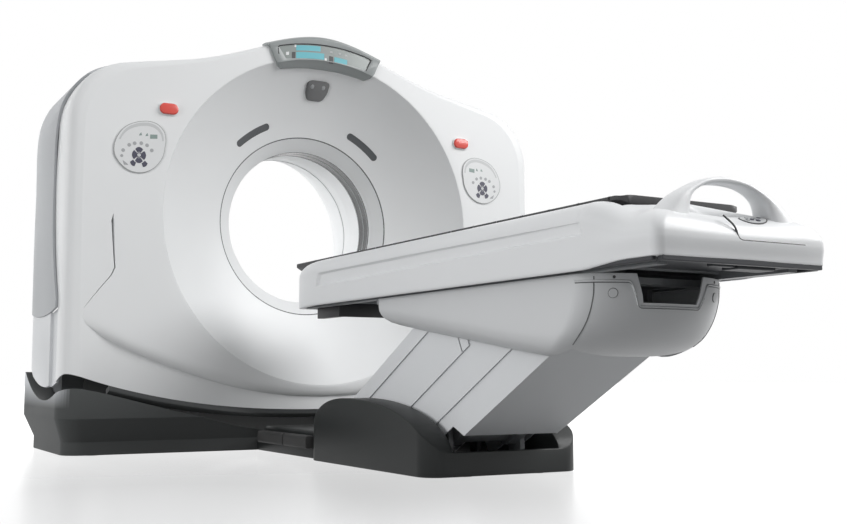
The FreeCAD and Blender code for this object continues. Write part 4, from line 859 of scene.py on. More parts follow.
def skirt_band():
    """Grey inner edge that shows under the front cover."""
    rings = []
    for step in range(BAND_STEPS + 1):
        x = BAND_HALF * (2 * step / BAND_STEPS - 1)
        rings.append([(x, FRONT_Y + STEP_DEPTH + back, skirt_z(x, FRONT_Y + back) - drop)
                      for drop, back in BAND_SECTION])
    return stack(rings)


add_piece("skirt_band", skirt_band(), BAND, PLATE_SHARP, GANTRY)

# ---------------- funnel

FUNNEL_COLUMNS = 240
FUNNEL_STEPS = 36
FUNNEL_SHEET = 6.0
SLOT_RADIUS = 480.0
SLOT_WIDTH = 30.0
SLOT_FROM = 44.0
SLOT_TO = 66.0
SLOT_STEPS = 12
SLOT_END_STEPS = 10
GRILLE_ROWS = 7
GRILLE_COLUMNS = 97
GRILLE_OVERLAP = 0.6
GRILLE_MARGIN = 6
GRILLE_DEPTH = 3.6
RIB_HEIGHT = 0.9
GRILLE_SHEET = 1.2


def dish_profile(steps, shift=0.0):
    """(radius, y) along the funnel's section, moved back by a distance."""
    along = Vector((LIP - RIM, LIP_Y - FRONT_Y))
    normal = Vector((along.y, -along.x)).normalized()
    chord = along.length
    arc = (chord ** 2 / 4 + DISH_SAG ** 2) / (2 * DISH_SAG)
    middle = Vector((RIM + LIP, FRONT_Y + LIP_Y)) / 2 + normal * (DISH_SAG - arc)
    half = math.asin(chord / 2 / arc)
    direction = along.normalized()
    profile = []
    for step in range(steps + 1):
        angle = -half + 2 * half * step / steps
        place = middle + (direction * math.sin(angle) + normal * math.cos(angle)) * (arc + shift)
        profile.append((place.x, place.y))
    return profile


DISH_TABLE = sorted(dish_profile(40))


def dish_y(radius):
    """Depth of the funnel's face at a radius."""
    return lookup(DISH_TABLE, radius)


def revolve(profile, columns):
    """Closed profile of (radius, y) turned all round the bore axis."""
    turns = circle(columns)
    points, faces = skin([[(radius * c, y, ISO + radius * s) for c, s in turns] for radius, y in profile])
    last = len(points) - columns
    for column in range(columns):
        after = (column + 1) % columns
        faces.append((last + column, last + after, after, column))
    return points, faces


def slot_outline(side):
    """Curved slot with round ends, seen along the bore."""
    half = SLOT_WIDTH / 2
    spread = half / SLOT_RADIUS
    first = math.radians(SLOT_FROM) + spread
    last = math.radians(SLOT_TO) - spread
    line = []
    for way, start, stop in ((1, first, last), (-1, last, first)):
        for k in range(SLOT_STEPS + 1):
            line.append((SLOT_RADIUS + way * half, start + (stop - start) * k / SLOT_STEPS))
        for k in range(1, SLOT_END_STEPS):
            turn = math.pi * k / SLOT_END_STEPS
            line.append((SLOT_RADIUS + way * half * math.cos(turn), stop + way * spread * math.sin(turn)))
    return [(side * r * math.cos(a), ISO + r * math.sin(a)) for r, a in line]


def slot_grille(side):
    """Dark insert in a slot, with raised ribs across it."""
    points = []
    first = SLOT_FROM - GRILLE_OVERLAP
    last = SLOT_TO + GRILLE_OVERLAP
    for row in range(GRILLE_ROWS):
        radius = SLOT_RADIUS + (SLOT_WIDTH + GRILLE_MARGIN) * (row / (GRILLE_ROWS - 1) - 0.5)
        for column in range(GRILLE_COLUMNS):
            angle = math.radians(first + (last - first) * column / (GRILLE_COLUMNS - 1))
            depth = GRILLE_DEPTH + (RIB_HEIGHT if column % 4 in (1, 2) else 0.0)
            x, y, z = about_bore(radius, angle, dish_y(radius) + depth)
            points.append((side * x, y, z))
    return points, grid_faces(GRILLE_ROWS, GRILLE_COLUMNS)


section = dish_profile(FUNNEL_STEPS) + dish_profile(FUNNEL_STEPS, FUNNEL_SHEET)[::-1]
funnel = add_object("funnel_skin", revolve(section, FUNNEL_COLUMNS), WHITE, FLAT_SHARP)
slots = [cutter(prism(slot_outline(side), FRONT_Y - 20, FRONT_Y + 230)) for side, name in SIDES]
carve(funnel, slots, FLAT_SHARP)
stand_for(funnel, GANTRY, "front_funnel")

for side, name in SIDES:
    grille = add_object("grille_" + name, slot_grille(side), GRILLE, FLAT_SHARP)
    thicken(grille, GRILLE_SHEET)
    stand_for(grille, GANTRY, *(["funnel_grilles"] if side < 0 else []))

# ---------------- key panels

PANEL_PLACE = (820.0, 1253.0)
PANEL_BACK = 749.2
PANEL_FRONT = 745.3
KEY_BACK = PANEL_FRONT + 1
# (angle in degrees, radius) of the panel's egg shape
PANEL_SHAPE = [(-180, 112), (-155, 119), (-120, 118), (-92, 113), (-65, 105), (-33, 98), (-5, 97), (24, 110),
               (38, 117), (52, 118), (72, 112), (90, 104), (112, 100), (146, 102), (172, 108), (180, 112)]
EGG_STEPS = 72
FACE_SCALE = 0.972
BAND_ANGLES = (18, 168)
BAND_SCALES = (0.80, 0.93)
ARC_STEPS = 18
# (across, up, radius) of the round keys
KEYS = [(-75, -25, 7.5), (-51, -1, 7.5), (-29, 8, 7.5), (-2, 11, 7.5), (22, 4.5, 7.5), (42, -14.5, 7.5),
        (-80, -48, 6.0)]
KEY_WINDOW = [(34, 33), (64, 36), (64, 53), (34, 51)]
KEY_MARK = [(0, 42), (12, 44), (9, 56), (3, 50)]
CORNER_KEY = [(-76, -66), (-70, -84), (-52, -84), (-58, -78)]
CROSS = (-10.0, -39.0)
ARROW_SQUASH = 0.86
ARROW_BULGE = 3.5


def plate(name, side, outline, proud, material, back=KEY_BACK):
    """Flat piece on a key panel; its outline grows towards the bore on both panels."""
    outline = [(side * (PANEL_PLACE[0] - across), PANEL_PLACE[1] + up) for across, up in outline]
    return add_piece(name, prism(outline, PANEL_FRONT - proud, back), material, PLATE_SHARP, GANTRY)


def on_egg(angle, scale):
    """Place on the panel's egg shape at an angle in degrees."""
    radius = lookup(PANEL_SHAPE, angle) * scale
    return radius * math.cos(math.radians(angle)), radius * math.sin(math.radians(angle))


def egg(scale):
    """Egg-shaped outline about the panel's middle."""
    return [on_egg(-180 + 360 * step / EGG_STEPS, scale) for step in range(EGG_STEPS)]


def egg_band():
    """Part of an egg-shaped band, between two angles, with narrower ends."""
    first, last = BAND_ANGLES
    middle = sum(BAND_SCALES) / 2
    forth = [step / ARC_STEPS for step in range(ARC_STEPS + 1)]
    line = []
    for scale, shares in ((BAND_SCALES[1], forth), (BAND_SCALES[0], forth[::-1])):
        for share in shares:
            width = 0.4 + 0.6 * math.sin(math.pi * min(max(share, 0.04), 0.96))
            line.append(on_egg(first + (last - first) * share, middle + (scale - middle) * width))
    return line


def arrow(turn, inner=13.0, outer=30.0, spread=38.0):
    """Arrow key about the middle of the four-way key."""
    forth = [step / 6 for step in range(7)]
    line = []
    for radius, bulge, shares in ((outer, ARROW_BULGE, forth), (inner, 0.0, forth[::-1])):
        for share in shares:
            angle = math.radians(turn - spread + 2 * spread * share)
            reach = radius + bulge * math.cos(math.radians((share - 0.5) * 180))
            across = CROSS[0] + reach * math.cos(angle) * ARROW_SQUASH
            line.append((across, CROSS[1] + reach * math.sin(angle)))
    return line


def key_panel(side, tag):
    """Egg-shaped panel with its band, keys, window and arrow keys."""
    rim = plate("key_rim_" + tag, side, egg(1.0), -0.7, KEY_LINE, PANEL_BACK)
    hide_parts("control_panel_" + tag)
    plate("key_face_" + tag, side, egg(FACE_SCALE), 0.0, PANEL, PANEL_BACK)
    plate("key_band_" + tag, side, egg_band(), 0.25, KEY_PALE)
    for number, (across, up, radius) in enumerate(KEYS):
        plate("key_%s_%d" % (tag, number), side, disc((across, up), radius), 0.6, KEY_GREY)
    plate("key_window_" + tag, side, KEY_WINDOW, 0.4, KEY_GREEN)
    for number, shift in enumerate((-12, 14)):
        outline = [(across + shift, up) for across, up in KEY_MARK]
        plate("key_mark_%s_%d" % (tag, number), side, outline, 0.3, KEY_GREEN)
    for turn in (0, 90, 180, 270):
        plate("arrow_%s_%d" % (tag, turn), side, arrow(turn), 0.9, KEY_DARK)
    for turn in (232, 308):
        plate("arrow_%s_%d" % (tag, turn), side, arrow(turn, 35.0, 52.0, 15.0), 0.9, KEY_DARK)
    plate("centre_ring_" + tag, side, disc(CROSS, 11), 0.9, KEY_DARK)
    plate("centre_key_" + tag, side, disc(CROSS, 7.5), 1.4, KEY_PALE)
    plate("corner_key_" + tag, side, CORNER_KEY, 0.8, KEY_GREY)


for side, name in SIDES:
    key_panel(side, name)

# ---------------- display

SCREEN_FACE = 740.9
SCREEN_FALL = 30
SCREEN_HALF = 230
LONG_STRIP = 50
# name, left, right, low, high, proud, material; heights are those at the display's middle
STRIPS = (
    ("upper_bar", -146, -28, 1762, 1786, 0.5, CYAN),
    ("lower_bar", -146, -10, 1727, 1755, 0.5, CYAN),
    ("right_bar", 40, 104, 1724, 1748, 0.5, CYAN),
    ("mark_left", -166, -150, 1724, 1756, 0.8, DARK),
    ("mark_right", 14, 34, 1716, 1748, 0.8, DARK),
    ("light_upper", -154, -146, 1778, 1790, 0.8, PANEL),
    ("light_left", -194, -180, 1744, 1758, 0.8, PANEL),
    ("light_right", -8, 2, 1722, 1736, 0.8, PANEL),
    ("dash_0", 18, 30, 1764, 1771, 0.5, KEY_GREY),
    ("dash_1", 60, 72, 1764, 1771, 0.5, KEY_GREY),
    ("dash_2", 92, 104, 1764, 1771, 0.5, KEY_GREY),
)


def curved_strip(x0, x1, low, high):
    """Strip that follows the display's curved edges."""
    steps = 10 if x1 - x0 > LONG_STRIP else 2
    line = [(x0 + (x1 - x0) * k / steps, high) for k in range(steps + 1)]
    line += [(x1 - (x1 - x0) * k / steps, low) for k in range(steps + 1)]
    return [(x, z - SCREEN_FALL * (x / SCREEN_HALF) ** 2) for x, z in line]


def display_outline():
    """Dark line that runs round the display's left, upper and right edges."""
    top = [(x, 1793 - 34 * (x / SCREEN_HALF) ** 2) for x in range(-210, 211, 30)]
    line = [(-228, 1722), (-233, 1758)] + top + [(224, 1757), (199, 1704)]
    return round_path([(x, SCREEN_FACE - 2.2, z) for x, z in line], 10, 4)


for name, x0, x1, low, high, proud, material in STRIPS:
    strip = prism(curved_strip(x0, x1, low, high), SCREEN_FACE - proud, SCREEN_FACE + 1.5)
    add_piece("display_" + name, strip, material, PLATE_SHARP, GANTRY)
wire("display_outline", display_outline(), 2.4, DARK, GANTRY)

# ---------------- camera module

MODULE_CORNERS = [(-36, 1568), (36, 1568), (54, 1600), (55, 1640), (36, 1648), (-36, 1648), (-55, 1640),
                  (-54, 1600)]
MODULE_BEND = 14
LENS_X = 27
LENS_Z = 1622
LENS_RADIUS = 9
# (distance back from the front face, scale of the outline)
PATCH_EDGE = ((2.0, 1.0), (0.6, 0.988), (0.0, 0.95))


def dish_patch(name, outline, out, deep, material):
    """Plate that lies on the funnel, with an outline in x and z."""
    middle_x = sum(x for x, z in outline) / len(outline)
    middle_z = sum(z for x, z in outline) / len(outline)
    rings = []
    for push, size in ((-deep, 1.0), *((out - back, size) for back, size in PATCH_EDGE)):
        ring = [(middle_x + (x - middle_x) * size, middle_z + (z - middle_z) * size) for x, z in outline]
        rings.append([(x, dish_y(math.hypot(x, z - ISO)) - push, z) for x, z in ring])
    return add_piece(name, stack(rings), material, CURVE_SHARP, GANTRY)


module = dish_patch("camera_body", round_outline(MODULE_CORNERS, MODULE_BEND), 9.5, 1.0, MODULE)
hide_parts("camera_module")
for side, name in SIDES:
    lens = disc((side * LENS_X, LENS_Z), LENS_RADIUS, 20)
    dish_patch("camera_lens_" + name, lens, 11.0, -6.0, KEY_GREY)

# ---------------- bore rings

# name, material, section as (radius, y)
BORE_RINGS = (
    ("lip_seam", BAND, [(409.5, 953.2), (407.0, 954.4), (404.0, 957.2), (406.0, 958.4)]),
    ("window_edge_0", KEY_GREY, [(350.6, 1012), (348.9, 1012), (348.9, 1015.5), (350.6, 1015.5)]),
    ("window_edge_1", KEY_GREY, [(350.6, 1102), (348.9, 1102), (348.9, 1105.5), (350.6, 1105.5)]),
    ("scan_line", GREY, [(350.6, 1054), (349.2, 1054), (349.2, 1060), (350.6, 1060)]),
    ("rear_seam", KEY_GREY, [(362.0, 1300), (360.8, 1300), (361.0, 1303), (362.2, 1303)]),
)
RING_COLUMNS = 180

for name, material, section in BORE_RINGS:
    add_piece(name, revolve(section, RING_COLUMNS), material, RING_SHARP, GANTRY)

# ---------------- table top

BED_LOW = 588.0
BED_RIM = 769.0
BED_HALF = 289.0
BED_HEAD = 540.0
BED_FOOT = -1750.0
BED_SHARP = 34
CHIN = 80.0
CHIN_Y = 455
CHANNEL_HALF = 222.0
CHANNEL_FLOOR = 716.0
CHANNEL_END = -1546.0
ROLLER_SLOT = (-36, 36, 262, 338, 500, 800)
# plan of the rounded head's right half, as (x, y)
HEAD_OUTLINE = [(289, 200), (287.5, 240), (283, 290), (274, 345), (262, 392), (249, 432), (236, 468),
                (224, 494), (208, 515), (186, 530), (160, 538), (130, 540), (88, 540), (44, 540)]
FOOT_CORNER = 26.0
FOOT_TUCK = 13.0
# (y, height) of the lower and upper edge of the groove along the side
RECESS_LOW = [(-1750, 679), (-1440, 677), (150, 657), (600, 650)]
RECESS_HIGH = [(-1750, 720), (-1440, 717), (150, 710), (600, 706)]
RECESS_ENDS = (-1462, 186)
RECESS_DEPTH = 9.0
RECESS_EDGE = 7.0
RECESS_FADE = 10
# shoulder's width and height: everywhere, added at the foot, taken off at its end
SHOULDER_WIDTH = (64, 96, 20)
SHOULDER_HEIGHT = (56, 22, 6)
# fall of the rim towards the foot and again at its end
RIM_FALL = (33, 10)
SIDE_RISES = [0, 3, 8, 18, 30, 42, 50, 53, 56] + [60 + 3.0 * k for k in range(25)]
LOWER_EDGE = (3.0, 0.8, 0.0)
SHOULDER_STEPS = 14
FOOT_CREASE = 646


def bed_edge():
    """Right half of the bed's plan from the head round to the foot."""
    points = [(0.0, BED_HEAD)] + HEAD_OUTLINE[::-1]
    y = 190.0
    while y > BED_FOOT + FOOT_CORNER + 1:
        points.append((BED_HALF, y))
        y -= 8.0 if (y > 150 or -1430 > y > -1475) else 30.0
    for step in range(9):
        angle = math.radians(90 * step / 8)
        points.append((BED_HALF - FOOT_CORNER + FOOT_CORNER * math.cos(angle),
                       BED_FOOT + FOOT_CORNER - FOOT_CORNER * math.sin(angle)))
    return points + [(float(x), BED_FOOT) for x in (200, 150, 100, 50, 0)]


def recess_depth(y, z):
    """Shallow groove along the bed's side, with soft edges."""
    rise = (z - lookup(RECESS_LOW, y)) / RECESS_EDGE
    fall = (lookup(RECESS_HIGH, y) - z) / RECESS_EDGE
    near = (y - RECESS_ENDS[0] - 0.5 * (z - 690)) / RECESS_FADE
    past = (RECESS_ENDS[1] - y - 0.4 * (z - 660)) / RECESS_FADE
    return RECESS_DEPTH * ease(rise) * ease(fall) * ease(near) * ease(past)


def chin_rise(y):
    """How far the underside curves up at the head."""
    depth = min(max(y - (BED_HEAD - CHIN), 0.0), CHIN - 0.01)
    return CHIN - math.sqrt(CHIN ** 2 - depth ** 2)


def bed_column(x, y):
    """Points from the bed's lower edge up its side, over the shoulder and in to its middle line."""
    spine = min(max(y, CHANNEL_END), BED_HEAD - 250)
    inward = Vector((-x, spine - y))
    reach = inward.length
    inward.normalize()
    foot = ease((CHANNEL_END + 90 - y) / 190)
    end = ease((BED_FOOT + 60 - y) / 60)
    shoulder = SHOULDER_WIDTH[0] + foot * SHOULDER_WIDTH[1] - end * SHOULDER_WIDTH[2]
    rim = BED_RIM - foot * RIM_FALL[0] - end * RIM_FALL[1]
    side_top = rim - (SHOULDER_HEIGHT[0] + foot * SHOULDER_HEIGHT[1] - end * SHOULDER_HEIGHT[2]) - 2
    low = BED_LOW + chin_rise(y) + FOOT_TUCK * ease((-1440 - y) / 200)

    def moved_in(move, z):
        return x + inward.x * move, y + inward.y * move, z

    column = []
    for number, rise in enumerate(SIDE_RISES):
        if foot > 0 or y > CHIN_Y:
            z = low + rise / SIDE_RISES[-1] * (side_top - low)
        else:
            z = BED_LOW + rise
        z = min(z, side_top + 0.05 * number)
        inset = LOWER_EDGE[min(number, 2)]
        if abs(x) > BED_HALF - 3:
            inset += recess_depth(y, z)
        if foot > 0:
            crease = (z - FOOT_CREASE) / 60
            inset += 7.0 * foot * ease(abs(crease) * 1.6) * (1 if crease > 0 else 0.55)
        column.append(moved_in(inset, z))
    for step in range(1, SHOULDER_STEPS + 1):
        turn = math.radians(90 * step / SHOULDER_STEPS)
        move = inset + (shoulder - inset) * (1 - math.cos(turn))
        column.append(moved_in(move, z + (rim - z) * math.sin(turn)))
    for share in (0.3, 0.65, 1.0):
        column.append(moved_in(shoulder + max(reach - shoulder, 0.0) * share, rim + (BED_RIM - rim) * share))
    return column


def bed_outer():
    """Closed outer form of the bed: straight sides, soft shoulders and a foot that falls away."""
    columns = [bed_column(x, y) for x, y in mirrored(bed_edge(), 1)]
    count = len(columns)
    points, faces = skin(list(zip(*columns)))
    return points, faces + cross_faces(count, 0) + cross_faces(count, len(points) - count)


def bed_room(inset, low, high, foot, head):
    """Cutter for a hollow of the bed, seen from below."""
    half = BED_HALF - inset
    right = [(half - 40, foot), (half, foot + 40), (half, 190), (262 - inset, 380), (209 - inset, head)]
    return cutter(stack([[(x, y, z) for x, y in mirrored(right)] for z in (low, high)]))


bed = add_object("bed_shell", bed_outer(), TABLE_WHITE, BED_SHARP)
channel = cutter(cuboid(-CHANNEL_HALF, CHANNEL_HALF, CHANNEL_END, 700, CHANNEL_FLOOR, 900))
rooms = [bed_room(12, 560, 640, BED_FOOT + 14, CHIN_Y), bed_room(21, 630, 704, CHANNEL_END + 60, 500)]
carve(bed, [channel, cutter(cuboid(*ROLLER_SLOT)), *rooms], BED_SHARP)
stand_for(bed, "bed", "upper_housing", "foot_cover")

# ---------------- foot end of the table top

ARCH_Y = -1669.0
# right halves of the handle's edges, from the deck up to the middle, as (x, height)
ARCH_OUTER = [(234, 706), (172, 760), (120, 789), (62, 812), (0, 819.5)]
ARCH_INNER = [(140, 696), (124, 760), (96, 783), (50, 797), (0, 800.5)]
ARCH_STEPS = 56
ARCH_SIDES = 20
ARCH_DEPTH = 27
ARCH_FLARE = 18
ARCH_SQUARE = 0.6
FOOT_FACE = BED_FOOT + 2.4
FOOT_SEAM = [(-60, FOOT_FACE + 16, 712), (-31, FOOT_FACE + 3, 684), (-27, FOOT_FACE, 651),
             (205, FOOT_FACE, 651)]
# name, x0, x1, y0, y1, z0, z1 of the blocks under the foot
UNDER_BLOCKS = (
    ("panel", -274, 274, -1737, -1300, 606, 614),
    ("rim_left", -282, -268, -1722, -1300, 590, 610),
    ("rim_right", 268, 282, -1722, -1300, 590, 610),
    ("rim_end", -270, 270, -1746, -1728, 590, 610),
    ("latch", 20, 150, -1700, -1640, 586, 606),
    ("latch_arm", -60, 30, -1690, -1670, 590, 606),
    ("socket", 165, 215, -1700, -1600, 594, 606),
)


def on_arch(half, share):
    """Place on one of the handle's edges, by a share of its way from left to right."""
    line = [(-x, z) for x, z in half] + half[-2::-1]
    place = share * (len(line) - 1)
    return [lookup([(k, point[axis]) for k, point in enumerate(line)], place) for axis in (0, 1)]


def squared(value):
    """Cosine or sine of a round section, drawn out towards a square."""
    return math.copysign(abs(value) ** ARCH_SQUARE, value)


def arch():
    """Hoop handle with rounded edges, wider where it meets the deck."""
    rings = []
    for step in range(ARCH_STEPS + 1):
        share = step / ARCH_STEPS
        outer_x, outer_z = on_arch(ARCH_OUTER, share)
        inner_x, inner_z = on_arch(ARCH_INNER, share)
        half_depth = ARCH_DEPTH + ARCH_FLARE * abs(2 * share - 1) ** 3
        ring = []
        for c, s in circle(ARCH_SIDES):
            mix = 0.5 + 0.5 * squared(c)
            ring.append((inner_x + (outer_x - inner_x) * mix, ARCH_Y + squared(s) * half_depth,
                         inner_z + (outer_z - inner_z) * mix))
        rings.append(ring)
    return stack(rings)


add_piece("foot_arch", arch(), TABLE_WHITE, CURVE_SHARP, "bed")
wire("foot_seam", round_path(FOOT_SEAM, 18), 2.6, DARK, "bed")
for name, *box in UNDER_BLOCKS:
    add_block("under_" + name, box, 2.5, UNDERSIDE, "bed")

# ---------------- cradle

CRADLE_HALF = 210.0
CRADLE_HEAD = 580.0
CRADLE_FOOT = -1530.0
CRADLE_EDGE = 783.0
CRADLE_SAG = 42.0
CRADLE_WALL = 16.0
CRADLE_ROUND = 30.0
CRADLE_STEPS = 40
ACROSS_STEPS = 32
FOOT_DISTANCES = (0, 0.6, 2, 4, 7, 11, 16, 22, CRADLE_ROUND)
TICK_FIRST = -1480.0
TICK_STEP = 132.0
TICKS = 15
TICK_HALF = 2.5
# (distance in from the cradle's side, distance under its edge)
TICK_OUTLINE = ((3, 12), (0, 12), (0, 1.5), (3, 0.3))


def cradle_half(y):
    """Half width of the cradle at a place along it, rounded at both ends."""
    depth = max(y - CRADLE_HEAD, CRADLE_FOOT - y) + CRADLE_ROUND
    if depth <= 0:
        return CRADLE_HALF
    return CRADLE_HALF - CRADLE_ROUND + math.sqrt(max(CRADLE_ROUND ** 2 - depth ** 2, 0.0))


def cradle_mesh():
    """Shallow carbon trough with a rounded rim, and a low wall across its foot."""
    straight = CRADLE_HEAD - CRADLE_FOOT - 2 * CRADLE_ROUND
    ys = [CRADLE_FOOT + distance for distance in FOOT_DISTANCES]
    ys += [CRADLE_FOOT + CRADLE_ROUND + straight * k / CRADLE_STEPS for k in range(1, CRADLE_STEPS + 1)]
    ys += [CRADLE_HEAD - CRADLE_ROUND * math.cos(math.radians(9 * k)) for k in range(1, 11)]
    sag_radius = (CRADLE_HALF ** 2 + CRADLE_SAG ** 2) / (2 * CRADLE_SAG)
    rings = []
    for y in ys:
        half = cradle_half(y)
        wall = ease((CRADLE_FOOT + 18 - y) / 10)
        top = []
        under = []
        for k in range(ACROSS_STEPS + 1):
            x = -half + 2 * half * k / ACROSS_STEPS
            base = CRADLE_EDGE - CRADLE_SAG + sag_radius - math.sqrt(sag_radius ** 2 - x * x)
            lip = 2.5 * ease((abs(x) - half + 5) / 5)
            top.append((x, y, base + (CRADLE_EDGE - 1.5 - base) * wall - lip))
            under.append((x, y, base - CRADLE_WALL + 0.2 + lip))
        rings.append(top + under[::-1])
    return stack(rings)


def cradle_ticks():
    """Light marks along both edges of the cradle."""
    forms = []
    for k in range(TICKS):
        y = TICK_FIRST + TICK_STEP * k
        for side, name in SIDES:
            outline = [(side * (CRADLE_HALF - inside), CRADLE_EDGE - drop) for inside, drop in TICK_OUTLINE]
            forms.append(prism(outline, y - TICK_HALF, y + TICK_HALF))
    return merge_forms(forms)


add_piece("cradle_shell", cradle_mesh(), CRADLE, PLATE_SHARP, "cradle_body", "cradle")
add_piece("cradle_marks", cradle_ticks(), TABLE_WHITE, FLAT_SHARP, "cradle_body")

# ---------------- foot key pad

KEYPAD_MIDDLE = (84.0, -1690.0)
KEYPAD_TURN = 0.25
KEYPAD_KEYS = ((-26, -8), (-8, -4), (10, 2), (28, 8), (-14, 9), (6, -12))


def on_deck(x, y, out):
    """Point over the bed's top at a place in plan."""
    _, spot, normal, _ = bed.ray_cast((x * MM, y * MM, 1.0), (0, 0, -1))
    return spot / MM + normal * out


def deck_plate(name, radius, squash, middle, out, deep, material):
    """Oval plate that follows the deck."""
    cosine = math.cos(KEYPAD_TURN)
    sine = math.sin(KEYPAD_TURN)
    oval = [(radius * c, radius * squash * s) for c, s in circle(40)]
    plan = [(middle[0] + a * cosine - b * sine, middle[1] + a * sine + b * cosine) for a, b in oval]
    rings = [[tuple(on_deck(x, y, push)) for x, y in plan] for push in (-deep, out)]
    return add_piece(name, stack(rings), material, PLATE_SHARP, "bed")


bpy.context.view_layer.update()
keypad_rim = deck_plate("foot_keypad_rim", 52, 0.55, KEYPAD_MIDDLE, 1.2, 4, DARK)
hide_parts("foot_keypad")
deck_plate("foot_keypad_face", 48, 0.53, KEYPAD_MIDDLE, 2.0, 3, KEY_PALE)
for number, (dx, dy) in enumerate(KEYPAD_KEYS):
    spot = (KEYPAD_MIDDLE[0] + dx, KEYPAD_MIDDLE[1] + dy)
    deck_plate("foot_key_%d" % number, 6.5, 0.8, spot, 3.2, 2, KEY_DARK if number % 2 else KEY_GREY)

# ---------------- lower housing

HULL_HALF = 250.0
HULL_BULGE = 116.0
HULL_ROUND = 70.0
HULL_WALL = 5.0
# (height, y) of the foot end's middle and of the nose
HULL_ENDS = [(366, -1262), (372, -1306), (384, -1345), (402, -1386), (432, -1428), (470, -1460), (505, -1477),
             (540, -1486), (586, -1488)]
HULL_NOSE = [(366, -1236), (378, -1130), (420, -820), (468, -460), (484, -370), (492, -318), (500, -282),
             (515, -248), (545, -222), (586, -215)]
# (y, height) of the belly
HULL_BELLY = [(-1560, 360), (-1290, 364), (-1130, 378), (-820, 420), (-460, 468), (-312, 484), (-120, 486)]
HULL_HEIGHTS = (366, 368, 371, 375, 380, 386, 393, 401, 410, 420, 432, 444, 456, 468, 480, 492, 504, 516, 530,
                545, 560, 573, 583, 586)
HULL_STEPS = 30
NOSE_CORNER = 60.0
NOTCH = [(-121, 600), (-93, 510), (93, 510), (121, 600)]
LEG_MOUTH = (-205, 205, -1305, -239, 300, 534)
RIM_HEIGHT = 566
RIM_CORNERS = [(-172, 566), (-137, 566), (-131, 560), (-104, 500), (104, 500), (131, 560), (137, 566),
               (172, 566)]
RIM_BEND = 9
RIM_PART = 12
RIM_PROUD = 0.5
RIM_SIDES = (249, 240, 225, 205, 185)
SEAM_ANGLE = 62
# name, distance from the middle, height, radius, thickness, material
END_DISCS = (
    ("plug_edge_", 178, 534, 13.5, 0.7, BAND),
    ("plug_", 178, 534, 12, 1.6, HOUSING_SHADED),
    ("end_screw_", 176, 576, 4.2, 1.2, DARK),
)
DISC_EDGE = 0.8
RUNNER = (222, 234, -1400, -260, 575, 587.5)


def hull_half(y, z):
    """Half width of the housing at a height; it is drawn in towards its belly."""
    height = z - lookup(HULL_BELLY, y)
    if height >= HULL_ROUND:
        return HULL_HALF
    gap = HULL_ROUND - max(height, 0.0)
    return HULL_HALF - HULL_ROUND + math.sqrt(HULL_ROUND ** 2 - gap ** 2)


def end_point(angle, z, out=0.0):
    """Point on the housing's rounded foot end; angle 90 is its middle."""
    turn = math.radians(angle)
    y = lookup(HULL_ENDS, z) + HULL_BULGE * (1 - math.sin(turn)) - out * math.sin(turn)
    return (hull_half(y, z) + out) * math.cos(turn), y, z


def end_at(x, z, out=0.0):
    """Point on the foot end above a place across it."""
    return end_point(math.degrees(math.acos(max(min(x / HULL_HALF, 1.0), -1.0))), z, out)


def hull_slice(z):
    """Right half of the housing's outline at a height, from the nose to the foot."""
    nose = lookup(HULL_NOSE, z)
    stop = lookup(HULL_ENDS, z) + HULL_BULGE
    room = max(min(NOSE_CORNER, (nose - stop) / 2), 1.0)
    corner = nose - room
    line = [(0.0, nose, z)]
    for step in range(7):
        turn = math.radians(90 - 15 * step)
        y = corner + room * math.sin(turn)
        line.append((hull_half(y, z) - room + room * math.cos(turn), y, z))
    for step in range(1, HULL_STEPS + 1):
        y = corner + (stop - corner) * step / HULL_STEPS
        line.append((hull_half(y, z), y, z))
    return line + [end_point(5.0 * step, z) for step in range(1, 19)]


def hull_skin():
    """Open skin of the housing: its rounded sides, nose, foot end and belly."""
    rings = [mirrored(hull_slice(z), 1) for z in HULL_HEIGHTS]
    points, faces = skin(rings)
    return points, faces + cross_faces(len(rings[0]), 0)


def notch_rim():
    """Line on the foot end along the housing's edge and down round the notch."""
    path = [end_at(-x, RIM_HEIGHT, RIM_PROUD) for x in RIM_SIDES]
    bends = [(x, z) for x, z, _ in round_path([(x, z, 0.0) for x, z in RIM_CORNERS], RIM_BEND, 6)]
    for (x0, z0), (x1, z1) in zip(bends, bends[1:]):
        parts = max(int(math.hypot(x1 - x0, z1 - z0) / RIM_PART), 1)
        for k in range(parts):
            path.append(end_at(x0 + (x1 - x0) * k / parts, z0 + (z1 - z0) * k / parts, RIM_PROUD))
    path.append(end_at(*bends[-1], RIM_PROUD))
    return path + [end_at(x, RIM_HEIGHT, RIM_PROUD) for x in RIM_SIDES[::-1]]


def disc_on_end(name, x, z, radius, thick, material):
    """Flat round piece on the foot end."""
    centre = Vector(end_at(x, z))
    beside = (Vector(end_at(x + 3, z)) - centre).normalized()
    above = (Vector(end_at(x, z + 3)) - centre).normalized()
    out = beside.cross(above).normalized()
    rings = []
    for push, size in ((-2.0, radius), (thick - DISC_EDGE, radius), (thick, radius - DISC_EDGE)):
        rings.append([tuple(centre + out * push + (beside * c + above * s) * size) for c, s in circle(28)])
    add_piece(name, stack(rings), material, PLATE_SHARP, "carriage")


def end_seam(side):
    """Line up the foot end where it meets the housing's side."""
    line = [end_point(90 - side * SEAM_ANGLE, z, 0.2) for z in range(578, 400, -8)]
    return [(side * abs(x), y, z) for x, y, z in line]


hull = add_object("hull_skin", hull_skin(), HOUSING_SHADED, RING_SHARP)
thicken(hull, HULL_WALL).use_even_offset = False
bake(hull)
carve(hull, [cutter(prism(NOTCH, -1520, -1330)), cutter(cuboid(*LEG_MOUTH))], RING_SHARP)
stand_for(hull, "carriage", "lower_housing", "lower_end_cap")

